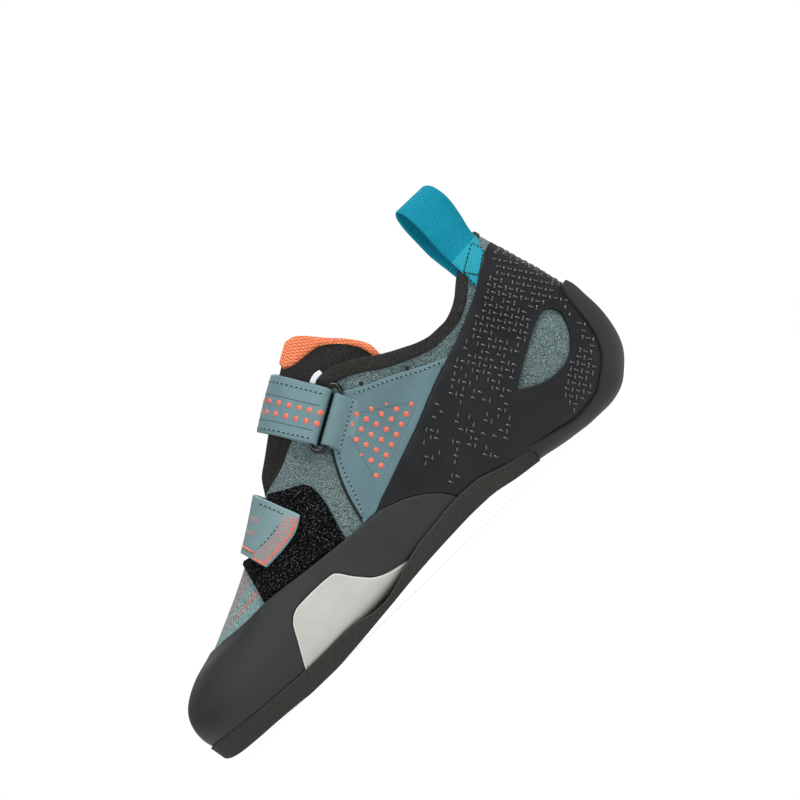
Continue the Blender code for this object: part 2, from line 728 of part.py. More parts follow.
def pull_loop():
    """Webbing from the outside of the heel wall, up and over, to the inside of it."""
    yaw = math.radians(LOOP_YAW)
    across = np.array([math.cos(yaw), math.sin(yaw)])
    outward = np.array([math.sin(yaw), -math.cos(yaw)])
    stations = np.linspace(206.0, 245.0, 60)
    sides = [section(x, np.linspace(1.0, 1.99, 40)) for x in stations]

    def wall(z, w):
        plan = np.array([(p[0, 0], np.interp(z, p[:, 2], p[:, 1])) for p in sides if p[-1, 2] > z])
        plan = plan - LOOP_MIDDLE
        return float(np.interp(w, plan @ across, plan @ outward))

    lean = wall(94.0, 0.0)
    path = [
        (2.6, 85.8), (2.6, 90.0), (2.7, 95.0), (3.6, 104.0), (3.4, 114.0), (1.2, 121.6),
        (-1.6, LOOP_TOP - 0.7), (-4.4, 121.4), (-6.2, 114.0), (-5.8, 104.0), (-4.8, 95.0),
        (-4.6, 90.0), (-4.6, 85.0),
    ]

    def at(n, z, w):
        base = wall(min(z, 94.0), w)
        base = base + (lean - base) * float(ease((z - 90.0) / 26.0))
        plan = LOOP_MIDDLE + w * across + (base + n * (1 + 0.006 * max(w, 0) ** 2)) * outward
        slant = 0.56 * w * float(np.clip((94.0 - z) / 10.0, 0, 1))
        return np.array([plan[0], plan[1], z + slant])

    return ribbon("strip", run(path, 4.5), LOOP_WIDTH, 4, at)


def build():
    for obj in list(bpy.data.objects):
        bpy.data.objects.remove(obj)
    girth = Girth()
    made = {
        "upper": upper(),
        "insole": insole(),
        "outsole": outsole(),
        "heel_cup": heel_cup(),
        "toe_rand": toe_rand(),
        "rand_insert": rand_insert(),
        "heel_rand": heel_rand(),
        "loop_pad": loop_pad(),
        "side_panel": side_panel(girth),
        "strap_ring": strap_ring(girth),
        "upper_strap": upper_strap(girth),
        "lower_strap": lower_strap(),
        "tongue": tongue(),
        "tongue_lining": tongue_lining(),
        "collar_binding": collar_binding(),
        "pull_loop": pull_loop(),
    }
    for name, obj in made.items():
        finish(name, obj)


build()
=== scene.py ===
"""Looks of the climbing shoe: its skins, straps, stitching, prints, light and camera.

Sizes are in millimetres in the shoe's own frame: x from the toe, y from the long axis with
the inner side negative, z above the floor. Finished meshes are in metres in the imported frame.
"""

import math
import random

import bmesh
import bpy
import numpy as np
from mathutils import Matrix, Vector


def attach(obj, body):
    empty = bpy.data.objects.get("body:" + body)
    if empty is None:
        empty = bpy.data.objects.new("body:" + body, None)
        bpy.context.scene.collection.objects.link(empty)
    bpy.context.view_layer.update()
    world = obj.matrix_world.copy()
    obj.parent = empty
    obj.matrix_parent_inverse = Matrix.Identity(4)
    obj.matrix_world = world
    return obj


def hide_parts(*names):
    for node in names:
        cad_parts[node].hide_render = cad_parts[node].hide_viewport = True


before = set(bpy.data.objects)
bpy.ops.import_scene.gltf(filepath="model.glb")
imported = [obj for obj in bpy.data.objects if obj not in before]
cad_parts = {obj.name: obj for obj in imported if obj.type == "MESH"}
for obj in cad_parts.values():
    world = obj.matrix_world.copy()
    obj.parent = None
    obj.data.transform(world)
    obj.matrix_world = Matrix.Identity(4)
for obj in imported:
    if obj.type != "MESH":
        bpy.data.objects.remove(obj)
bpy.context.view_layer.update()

MM = 0.001

# Texture units to a millimetre, and the mapping that turns them back.
UV_STEP = 0.01
UV_IN_MM = (1 / UV_STEP, 1 / UV_STEP, 1.0)

# The camera's roll, and the width it sees in metres.
ROLL_COS, ROLL_SIN = 0.7206, 0.6934
VIEW_WIDTH = 0.3472

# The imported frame's middle.
CENTRE_X = 127.6
CENTRE_Y = -0.6

# The upper's wall and turned-in margin, and the insole with the gap under it.
WALL = 1.8
TURNED_IN = 15.0
GAP = 0.3
INSOLE = 2.2

# The other layers, as distances from the outside of the upper, and their sizes.
RAND_IN, RAND_OUT = 0.3, 2.1
SOLE_IN = 2.4
CUP_OUT = 4.8
INSERT_OUT = 1.9
PANEL_OUT = 1.5
PAD_OUT = 1.8
TONGUE_WALL = 2.4
TAPE_OUT = 1.3
LIP = 1.3
LEAN = 1.2
SOLE_END = 190.2

# Straps, ring and pull loop.
STRAP_WIDTH = 25.4
STRAP_BAND = (-7.1, 3.9)
STRAP_SEAMS = (9.4, -10.9)
WEB = 1.3
WIRE = 2.0
RING_LENGTH = 32.3
RING_BARS = 7.0
RING_RISE = 3.15
SLOT = np.array([135.65, 80.6])
ACROSS = np.array([0.862, 0.507])
DOWN = np.array([0.507, -0.862])
LOOP_WIDTH = 20.0
LOOP_MIDDLE = np.array([228.2, -17.0])
LOOP_YAW = math.radians(30.0)
LOOP_TOP = 124.1

# The last, with the upper on it: from_toe, then bottom, wide and top (z), medial, ridge and
# lateral (y), and how square the section is below and above its widest line.
LAST = np.array((
    (2.4, 19.5, 19.5, 19.5, -13.0, -13.0, -13.0, 2.2, 2.2),
    (5.0, 11.6, 19.3, 28.6, -25.5, -13.0, -0.5, 2.4, 2.2),
    (10.0, 9.3, 19.0, 33.2, -32.0, -13.0, 7.5, 2.7, 2.2),
    (20.0, 7.6, 18.5, 38.2, -38.0, -12.5, 17.5, 3.2, 2.2),
    (30.0, 6.8, 18.0, 42.2, -41.3, -12.0, 24.5, 3.6, 2.2),
    (50.0, 5.5, 17.5, 51.3, -43.8, -11.0, 33.8, 4.0, 2.1),
    (70.0, 5.7, 17.5, 61.8, -44.0, -10.0, 39.8, 4.0, 2.05),
    (100.0, 8.2, 20.0, 82.3, -39.5, -8.0, 43.0, 4.0, 2.1),
    (130.0, 11.0, 24.0, 104.5, -30.8, -5.0, 40.5, 4.2, 2.2),
    (150.0, 12.0, 26.5, 116.8, -26.4, -2.5, 37.0, 4.4, 2.4),
    (170.0, 10.6, 27.5, 126.0, -25.8, -0.5, 34.3, 4.4, 2.7),
    (190.0, 8.0, 28.0, 129.0, -27.2, 0.0, 32.0, 4.0, 2.8),
    (205.0, 5.9, 28.0, 129.5, -28.3, 0.0, 30.6, 3.4, 2.8),
    (218.0, 4.5, 28.0, 128.5, -28.0, 0.0, 29.3, 3.0, 2.8),
    (227.0, 4.6, 28.5, 123.5, -26.6, 0.0, 27.4, 2.9, 2.7),
    (235.0, 6.3, 29.5, 98.5, -23.8, 0.0, 24.2, 2.7, 2.5),
    (241.6, 11.2, 31.5, 76.0, -19.4, 0.0, 19.6, 2.4, 2.3),
    (246.5, 17.2, 33.5, 60.0, -13.6, 0.0, 13.7, 2.2, 2.2),
    (250.2, 35.5, 35.5, 35.5, 0.0, 0.0, 0.0, 2.2, 2.2),
))
TOE_END, HEEL_END = LAST[0, 0], LAST[-1, 0]
BOTTOM, WIDE, TOP, MEDIAL, RIDGE, LATERAL, LOW_POWER = range(7)

# The outsole: from_toe, tread line and top of the edge.
SOLE = np.array((
    (1.0, 11.4, 12.9), (2.7, 5.2, 12.8), (5.0, 3.6, 12.5), (9.0, 2.6, 12.1), (18.0, 1.9, 11.2),
    (30.0, 1.4, 10.2), (44.0, 0.5, 9.4), (50.0, 0.0, 9.1), (63.0, 0.0, 9.1), (75.0, 0.9, 9.6),
    (100.0, 3.5, 11.6), (120.0, 5.7, 13.8), (140.0, 7.1, 16.0), (154.0, 7.7, 17.4),
    (163.0, 7.6, 17.0), (178.0, 5.2, 12.9), (191.0, 3.6, 10.3),
))

# How far the edge dips under the pale inlay: from_toe and drop.
RIM_DIP = np.array((
    (60.0, 0.0), (74.0, 0.1), (83.0, 1.0), (92.0, 4.0), (99.8, 4.9), (108.5, 4.0), (119.6, 1.2),
    (130.0, 0.1), (140.0, 0.0),
))

# Soft dents of the upper: from (x, z) to (x, z), half width, depth, side (-1 inner, 1 outer).
DENTS = (
    (112.0, 78.0, 116.0, 44.0, 7.0, 0.45, -1),
    (52.0, 50.0, 57.0, 44.0, 3.0, 0.35, -1),
    (196.0, 70.0, 214.0, 42.0, 9.0, 0.40, -1),
    (72.0, 58.0, 86.0, 30.0, 5.0, 0.55, 1),
    (84.0, 62.0, 99.0, 32.0, 5.0, 0.55, 1),
    (150.0, 88.0, 168.0, 48.0, 9.0, 0.60, 1),
    (196.0, 70.0, 214.0, 42.0, 9.0, 0.50, 1),
)


def through(knots, values, at):
    """A smooth curve through the values that adds no peak of its own."""
    knots = np.asarray(knots, float)
    values = np.asarray(values, float)
    at = np.clip(np.asarray(at, float), knots[0], knots[-1])
    step = np.diff(knots)
    rise = np.diff(values) / step
    slope = np.zeros(len(knots))
    same = rise[1:] * rise[:-1] > 0
    near = 2 * step[1:] + step[:-1]
    far = step[1:] + 2 * step[:-1]
    low = np.where(same, rise[:-1], 1.0)
    high = np.where(same, rise[1:], 1.0)
    slope[1:-1] = np.where(same, (near + far) / (near / low + far / high), 0.0)
    slope[0] = rise[0]
    slope[-1] = rise[-1]
    k = np.clip(np.searchsorted(knots, at, side="right") - 1, 0, len(step) - 1)
    t = (at - knots[k]) / step[k]
    return (
        (1 + 2 * t) * (1 - t) ** 2 * values[k]
        + t * (1 - t) ** 2 * step[k] * slope[k]
        + t * t * (3 - 2 * t) * values[k + 1]
        + t * t * (t - 1) * step[k] * slope[k + 1]
    )


def ease(t):
    """A soft step from 0 to 1."""
    t = np.clip(t, 0.0, 1.0)
    return t * t * (3 - 2 * t)


def unit(vectors):
    """One vector or a table of them, each made one long."""
    return vectors / np.linalg.norm(vectors, axis=-1, keepdims=True)


def lengths_along(points):
    """How far along a line each of its points lies."""
    return np.concatenate([[0], np.cumsum(np.linalg.norm(np.diff(points, axis=0), axis=1))])


def run(points, step=1.2):
    """The smooth curve through points, as points about one step apart."""
    points = np.asarray(points, float)
    length = lengths_along(points)
    at = np.linspace(0, length[-1], max(2, round(length[-1] / step) + 1))
    return np.column_stack([through(length, column, at) for column in points.T])


def shifted(points, distance):
    """A curve moved to its left by a distance."""
    along = unit(np.gradient(points, axis=0))
    return points + distance * np.column_stack([-along[:, 1], along[:, 0]])


# Outlines in the side view, (x, z), as smooth runs.
RAND_TOP = run((
    (30.0, 44.2), (37.1, 44.1), (43.6, 43.4), (51.4, 43.0), (61.4, 42.6), (85.5, 39.9), (105.2, 38.0),
    (124.5, 36.6),
))
RAND_REAR = run((
    (124.5, 36.6), (134.0, 33.6), (142.8, 28.9), (150.8, 21.6), (153.6, 16.0), (154.5, 0.0),
))
INSERT_TOP = run((
    (54.2, 8.6), (60.4, 20.3), (65.4, 28.6), (71.0, 31.3), (80.1, 31.6), (90.8, 31.1),
    (97.8, 23.3), (103.3, 17.5), (109.3, 14.5), (115.5, 12.9),
))
HEEL_FRONT = run((
    (122.6, 36.6), (128.5, 39.2), (135.8, 41.8), (146.6, 45.9), (163.6, 52.3), (174.0, 56.9),
    (185.2, 61.4), (200.4, 66.7), (211.0, 71.4), (220.0, 75.8), (228.5, 81.5), (235.0, 85.6),
    (239.0, 87.2), (243.0, 87.8),
))
WINDOW_TOP = run((
    (204.0, 33.0), (211.7, 37.9), (222.6, 44.3), (231.1, 48.4), (236.2, 49.7), (239.9, 48.0),
    (241.8, 43.6),
))
WINDOW_LOW = run((
    (204.0, 33.0), (213.1, 28.1), (220.6, 26.3), (227.2, 26.8), (233.4, 30.1), (239.5, 37.2),
    (241.8, 43.6),
))
CUP_TOP = run((
    (190.6, 10.3), (205.8, 6.2), (214.0, 4.4), (226.1, 5.6), (236.5, 11.8), (242.6, 17.3),
    (247.0, 26.4), (249.0, 38.2), (250.0, 49.0), (252.0, 52.6), (258.0, 53.0),
))
PAD_FRONT = run(((61.3, 43.0), (63.0, 49.5), (64.4, 56.0), (65.6, 62.6)))
PAD_THROAT = run(((65.6, 62.6), (68.4, 61.6), (71.4, 61.4), (80.0, 65.6), (93.9, 75.2)))
PAD_EDGE = run(((93.9, 76.1), (99.7, 72.8), (110.6, 65.6), (111.2, 61.6), (106.4, 38.9)))
PANEL_FRONT = run(((117.2, 39.0), (120.3, 51.3), (125.3, 63.2), (129.4, 70.6)))
PANEL_SLOT = run(((129.4, 70.6), (149.4, 84.8)))
PANEL_TOP = run((
    (149.4, 84.8), (152.2, 83.0), (157.4, 80.2), (167.0, 76.0), (180.9, 69.0), (192.6, 63.8),
))
PANEL_STITCHES = (
    run(((118.6, 40.6), (121.8, 48.1), (126.7, 61.8), (129.6, 67.0))),
    run(((152.2, 80.5), (154.0, 79.6), (166.4, 74.3), (180.2, 67.4), (189.0, 63.9))),
)
THROAT = run((
    (63.0, 57.0), (80.0, 66.2), (94.4, 75.6), (106.6, 79.2), (116.6, 83.9), (130.0, 89.2), (141.9, 93.8),
))
COLLAR = run((
    (141.9, 93.8), (148.2, 95.2), (155.4, 93.4), (163.5, 89.3), (171.6, 83.9), (181.4, 78.8),
    (187.0, 76.3), (193.6, 74.7), (201.0, 74.6), (206.6, 76.0), (212.4, 79.0), (218.6, 84.2),
    (224.2, 88.6), (231.0, 92.2), (239.0, 94.6), (250.0, 95.4),
))
TONGUE_EDGE = run((
    (136.0, 118.4), (141.0, 117.6), (145.0, 117.1), (149.2, 116.2), (152.6, 113.4), (156.2, 109.2),
    (160.0, 104.8), (167.0, 97.0), (170.6, 90.0), (170.6, 82.0),
))
TONGUE_LOW = run((
    (56.0, 47.0), (80.0, 58.0), (94.0, 66.0), (116.0, 73.0), (140.0, 80.0), (158.0, 78.0), (170.2, 76.0),
))
LINING_LOW = run((
    (133.0, 111.2), (137.7, 110.0), (141.8, 108.5), (147.6, 107.8), (153.3, 107.0), (160.8, 102.3),
    (165.5, 96.9), (168.4, 91.7), (169.4, 86.0),
))
STRAP_FRONT = run(((66.0, 70.0), (68.6, 64.5), (72.4, 53.5), (77.6, 42.4)))
STRAP_BACK = run(((105.4, 40.8), (98.6, 59.8), (91.6, 76.0), (88.0, 84.0)))
TAB_END = run(((64.0, 53.6), (71.3, 53.5), (80.4, 53.7), (91.0, 55.1), (97.7, 58.6), (101.0, 61.5)))
DOT_FIELD = ((170.0, 58.9), (143.3, 76.2), (138.0, 68.6), (132.0, 44.3))
HEEL_SEAM = run(((202.8, 32.6), (193.7, 24.7), (182.4, 15.6)))


# The skin: the upper's outside as a function of a share of its length and a place around it.
FINE = np.linspace(0, math.pi / 2, 97)
TURN_WEIGHT = 0.9


def turn_of(from_toe):
    share = (np.asarray(from_toe, float) - TOE_END) / (HEEL_END - TOE_END)
    return np.arccos(1 - 2 * np.clip(share, 0, 1))


LAST_TURNS = turn_of(LAST[:, 0])


def last_at(from_toe):
    """The last's row at a distance from the toe, without that distance."""
    turn = turn_of(from_toe)
    return [float(through(LAST_TURNS, LAST[:, k], turn)) for k in range(1, 9)]


def quarter(width, height, power, shares):
    """Points of a quarter section, from its end on the height to its end on the width."""
    y = width * np.sin(FINE) ** (2 / power)
    z = height * np.clip(np.cos(FINE), 0, 1) ** (2 / power)
    dy = np.diff(y)
    dz = np.diff(z)
    length = np.hypot(dy, dz)
    turned = np.abs(np.diff(np.arctan2(-dz, dy), prepend=0.0))
    measure = length / length.sum() + TURN_WEIGHT * turned / (math.pi / 2)
    measure = np.concatenate([[0], np.cumsum(measure)])
    at = np.asarray(shares) * measure[-1]
    return np.interp(at, measure, y), np.interp(at, measure, z)


def section(from_toe, around):
    """Points of the upper's outside. around runs 0 bottom, 1 inner, 2 ridge, 3 outer side."""
    bottom, wide, top, medial, ridge, lateral, low_power, high_power = last_at(from_toe)
    around = np.asarray(around, float) % 4
    points = np.empty((len(around), 3))
    points[:, 0] = from_toe
    for k in range(4):
        here = (around >= k) & (around < k + 1)
        share = around[here] - k
        low = k in (0, 3)
        width = abs((medial if k < 2 else lateral) - ridge)
        height = wide - bottom if low else top - wide
        power = low_power if low else high_power
        y, z = quarter(width, height, power, share if k in (0, 2) else 1 - share)
        points[here, 1] = ridge + (-y if k < 2 else y)
        points[here, 2] = wide + (-z if low else z)
    return points


ROWS = 321
COLUMNS = 257
ALL_AROUND = np.linspace(0, 4, COLUMNS)


def facing_of(points):
    """Outward directions of a table of skin points that closes round."""
    along = np.gradient(points, axis=0)
    padded = np.concatenate([points[:, -2:-1], points, points[:, 1:2]], axis=1)
    out = np.cross(along, padded[:, 2:] - padded[:, :-2])
    out[0] = (-1, 0, 0)
    out[-1] = (1, 0, 0)
    return unit(out)


def dent(points):
    """Depth of the soft dents at skin points."""
    depth = np.zeros(points.shape[:-1])
    for x0, z0, x1, z1, half, deep, side in DENTS:
        start = np.array([x0, z0])
        along = np.array([x1, z1]) - start
        rel = points[..., [0, 2]] - start
        t = np.clip(rel @ along / (along @ along), 0, 1)
        off = np.linalg.norm(rel - t[..., None] * along, axis=-1) / half
        same_side = ease(side * points[..., 1] / 8.0)
        fade = np.sin(math.pi * np.clip(t, 0.02, 0.98)) ** 0.5
        depth += deep * same_side * np.exp(-off * off) * fade
    return depth


def skin_tables():
    """Points, facings and lengths of the skin at even steps along it and around it."""
    turns = np.linspace(0.002, math.pi - 0.002, 401)
    dense = TOE_END + (HEEL_END - TOE_END) * (1 - np.cos(turns)) / 2
    guide = np.array([section(x, (0.0, 1.0, 2.0, 3.0)) for x in dense])
    step = np.linalg.norm(np.diff(guide, axis=0), axis=2).mean(axis=1)
    length = np.concatenate([[0], np.cumsum(step)])
    stations = np.interp(np.linspace(0, length[-1], ROWS), length, dense)
    points = np.array([section(x, ALL_AROUND) for x in stations])
    points[0] = (TOE_END, LAST[0, 5], LAST[0, 2])
    points[-1] = (HEEL_END, LAST[-1, 5], LAST[-1, 2])
    points = points - dent(points)[:, :, None] * facing_of(points)
    step = np.linalg.norm(np.diff(points, axis=1), axis=2)
    girth = np.concatenate([np.zeros((ROWS, 1)), np.cumsum(step, axis=1)], axis=1)
    girth = girth - girth[:, COLUMNS // 2 : COLUMNS // 2 + 1]
    along = np.repeat(np.linspace(0, length[-1], ROWS)[:, None], COLUMNS, axis=1)
    return points, facing_of(points), np.stack([along, girth], axis=2)


SKIN, FACING, LENGTHS = skin_tables()


def sample(table, at):
    """Values of a skin table at places (share of length, around)."""
    i = np.clip(at[:, 0], 0, 1) * (ROWS - 1)
    j = np.clip(at[:, 1], 0, 4) / 4 * (COLUMNS - 1)
    i0 = np.minimum(i.astype(int), ROWS - 2)
    j0 = np.minimum(j.astype(int), COLUMNS - 2)
    di = (i - i0)[:, None]
    dj = (j - j0)[:, None]
    near = table[i0, j0] * (1 - dj) + table[i0, j0 + 1] * dj
    far = table[i0 + 1, j0] * (1 - dj) + table[i0 + 1, j0 + 1] * dj
    return near * (1 - di) + far * di


def rule(offset):
    """An offset from the skin as a function of from_toe and around."""
    return offset if callable(offset) else lambda x, around: np.full(len(x), float(offset))


def skin_at(at, offset):
    points = sample(SKIN, at)
    facing = unit(sample(FACING, at))
    return points + facing * rule(offset)(points[:, 0], at[:, 1])[:, None]


# Fields: functions of points that are positive on one side of an outline.
def left_of(line, reach=90.0):
    """Distance from a side-view curve, positive on its left. Its ends run on straight."""
    first = line[0] + unit(line[0] - line[1]) * reach
    last = line[-1] + unit(line[-1] - line[-2]) * reach
    nodes = np.vstack([first, line, last])
    along = np.diff(nodes, axis=0)
    square = (along ** 2).sum(axis=1)

    def field(points):
        rel = points[:, None, [0, 2]] - nodes[None, :-1]
        t = np.clip((rel * along).sum(axis=2) / square, 0, 1)
        off = ((rel - t[:, :, None] * along) ** 2).sum(axis=2)
        k = off.argmin(axis=1)
        each = np.arange(len(points))
        turn = along[k, 0] * rel[each, k, 1] - along[k, 1] * rel[each, k, 0]
        return np.sqrt(off[each, k]) * np.where(turn >= 0, 1.0, -1.0)

    return field


def meet(*fields):
    def region(points):
        return np.minimum.reduce([field(points) for field in fields])

    region.edges = [edge for field in fields for edge in getattr(field, "edges", [field])]
    return region


def either(*fields):
    def region(points):
        return np.maximum.reduce([field(points) for field in fields])

    region.edges = [edge for field in fields for edge in getattr(field, "edges", [field])]
    return region


def away(field, distance=0.0):
    """The other side of a field, beyond a distance from its line."""

    def region(points):
        return -field(points) - distance

    region.edges = [region]
    return region


def inset(field, distance):
    def region(points):
        return field(points) - distance

    region.edges = [region]
    return region


def inner_side(points):
    return -points[:, 1] - 9.0


def sole_rim(x):
    return through(SOLE[:, 0], SOLE[:, 2], x)


def inner_rim(x):
    """The sole's edge on the inner side, low under the pale inlay."""
    return sole_rim(x) - through(RIM_DIP[:, 0], RIM_DIP[:, 1], x)


def sole_tread(x):
    return through(SOLE[:, 0], SOLE[:, 1], x)


# Meshes.
def place(points):
    """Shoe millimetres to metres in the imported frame."""
    return (np.asarray(points, float) - (CENTRE_X, CENTRE_Y, 0.0)) * MM


def to_object(name, bm, materials, sharp=38.0):
    mesh = bpy.data.meshes.new(name)
    bm.to_mesh(mesh)
    bm.free()
    for material in materials:
        mesh.materials.append(material)
    mesh.shade_smooth()
    mesh.set_sharp_from_angle(angle=math.radians(sharp))
    obj = bpy.data.objects.new(name, mesh)
    bpy.context.scene.collection.objects.link(obj)
    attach(obj, "root")
    return obj


def stands_for(obj, node):
    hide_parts(node)
    return obj


def cut(bm, field, level, laid):
    """Lays edges along the line where a field of the flat skin grid has a level.

    Points of the lines laid before stay where they are.
    """
    bm.verts.index_update()
    verts = list(bm.verts)
    at = np.array([v.co[:2] for v in verts])
    value = field(at) - level
    value[np.abs(value) < 1e-6] = 1e-6
    crossed = [e for e in bm.edges if value[e.verts[0].index] * value[e.verts[1].index] < 0]
    if not crossed:
        return
    first = np.array([e.verts[0].index for e in crossed])
    second = np.array([e.verts[1].index for e in crossed])
    low = np.zeros(len(crossed))
    high = np.ones(len(crossed))
    sign = np.sign(value[first])
    for _ in range(9):
        share = 0.5 * (low + high)
        here = field(at[first] + share[:, None] * (at[second] - at[first])) - level
        before = here * sign > 0
        low = np.where(before, share, low)
        high = np.where(before, high, share)
    share = 0.5 * (low + high)
    crossing = at[first] + share[:, None] * (at[second] - at[first])
    marked = {}
    for k, t in enumerate(share):
        end = first[k] if t < 0.16 else second[k] if t > 0.84 else None
        if end is not None and verts[end] not in marked and verts[end] not in laid:
            marked[verts[end]] = 0.0
            verts[end].co = (*crossing[k], 0.0)
            value[end] = 0.0
    signs = {v: value[v.index] for v in verts}
    for k, edge in enumerate(crossed):
        if value[first[k]] * value[second[k]] < 0:
            made = bmesh.utils.edge_split(edge, verts[first[k]], share[k])[1]
            made.co = (*crossing[k], 0.0)
            marked[made] = 0.0
            signs[made] = 0.0
    for face in {f for v in marked for f in v.link_faces}:
        split_face(face, signs)
    laid.update(marked)


def split_face(face, signs):
    """Splits a face between the two points that part its positive from its negative corners."""
    corners = list(face.verts)
    values = [signs[v] for v in corners]
    if min(values) >= 0 or max(values) <= 0:
        return
    zeros = [k for k, value in enumerate(values) if value == 0]
    for a in zeros:
        for b in zeros:
            one = {value > 0 for value in values[a + 1 : b] if value}
            two = {value > 0 for value in values[b + 1 :] + values[:a] if value}
            if b > a and len(one) == 1 and len(two) == 1 and one != two:
                bmesh.utils.face_split(face, corners[a], corners[b])
                return


def outward(bm):
    """Turns the faces of a closed shape outwards."""
    bmesh.ops.recalc_face_normals(bm, faces=bm.faces)
    if bm.calc_volume(signed=True) < 0:
        bmesh.ops.reverse_faces(bm, faces=bm.faces)


def skin_piece(
    name, region, outside, inside, soft, materials,
    soft_in=0.0, reliefs=(), inner=None, cells=(156, 148), lined=False,
):
    """A layer of the shoe between two distances from the skin, where a region is positive.

    Its edges are rounded off by soft millimetres. A relief is a field, the two levels of it
    between which the surface steps, and the height of the step.
    """
    outside = rule(outside)

    def seen(field):
        return lambda at: field(skin_at(at, outside))

    bm = bmesh.new()
    station, around, edge = (bm.verts.layers.float.new(name) for name in ("station", "around", "edge"))
    uv = bm.loops.layers.uv.new("skin")
    bmesh.ops.create_grid(bm, x_segments=cells[0], y_segments=cells[1], size=0.5)
    for v in bm.verts:
        v.co = (v.co.x + 0.5, (v.co.y + 0.5) * 4, 0.0)
    bm.verts.index_update()
    wide = seen(region)(np.array([v.co[:2] for v in bm.verts]))
    far = [v for v in bm.verts if wide[v.index] < -7.0]
    bmesh.ops.delete(bm, geom=far, context="VERTS")
    laid = set()
    for outline in region.edges:
        cut(bm, seen(outline), 0.0, laid)
    faces = list(bm.faces)
    middles = np.array([np.mean([v.co[:2] for v in f.verts], axis=0) for f in faces])
    inside_it = seen(region)(middles) > 0
    bmesh.ops.delete(bm, geom=[f for f, kept in zip(faces, inside_it) if not kept], context="FACES")
    for level in (0.15 * soft, 0.45 * soft, soft) if soft else ():
        cut(bm, seen(region), level, laid)
    for field, start, end, height in reliefs:
        cut(bm, seen(field), start, laid)
        cut(bm, seen(field), end, laid)

    verts = list(bm.verts)
    at = np.array([v.co[:2] for v in verts])
    from_edge = np.maximum(seen(region)(at), 0.0)
    for v, (s, a), distance, co in zip(verts, at, from_edge, place(skin_at(at, outside))):
        v[station] = s
        v[around] = a
        v[edge] = distance
        v.co = co
    bmesh.ops.remove_doubles(bm, verts=bm.verts, dist=2e-6)
    below = list(bm.faces)
    made = bmesh.ops.extrude_face_region(bm, geom=below, use_keep_orig=True)
    above = {g for g in made["geom"] if isinstance(g, bmesh.types.BMVert)}
    for group, is_top in ((list(above), True), ([v for v in bm.verts if v not in above], False)):
        at = np.array([(v[station], v[around]) for v in group])
        points = sample(SKIN, at)
        facing = unit(sample(FACING, at))
        distance = np.array([v[edge] for v in group])
        if is_top:
            out = outside(points[:, 0], at[:, 1])
            out = out - rounded(distance, soft)
            lifted = points + facing * outside(points[:, 0], at[:, 1])[:, None]
            for field, start, end, height in reliefs:
                out = out + height * ease((field(lifted) - start) / (end - start))
        else:
            out = rule(inside)(points[:, 0], at[:, 1]) + rounded(distance, soft_in)
        points = points + facing * out[:, None]
        if inner and not is_top:
            points = inner(points)
        points[:, 2] = np.maximum(points[:, 2], 0.0)
        for v, co in zip(group, place(points)):
            v.co = co
    for face in bm.faces:
        at = np.array([(v[station], v[around]) for v in face.verts])
        for loop, lengths in zip(face.loops, sample(LENGTHS, at)):
            loop[uv].uv = lengths * UV_STEP
    if lined:
        for face in below:
            face.material_index = 1
    outward(bm)
    many = [f for f in bm.faces if len(f.verts) > 4]
    bmesh.ops.triangulate(bm, faces=many)
    return to_object(name, bm, materials)


def rounded(distance, radius):
    """How far a rounded edge lies below its surface at a distance from the edge."""
    if not radius:
        return np.zeros(len(distance))
    short = np.clip(1 - distance / radius, 0, 1)
    return radius * (1 - np.sqrt(1 - 0.96 * short ** 2))


def mapped_grid(rows, columns, at, bm=None):
    """A grid whose points are put at at(row, column), in shoe millimetres."""
    bm = bm or bmesh.new()
    made = bmesh.ops.create_grid(bm, x_segments=rows - 1, y_segments=columns - 1, size=0.5)
    for v in made["verts"]:
        i = round((v.co.x + 0.5) * (rows - 1))
        j = round((v.co.y + 0.5) * (columns - 1))
        v.co = place(at(i, j))
    return bm


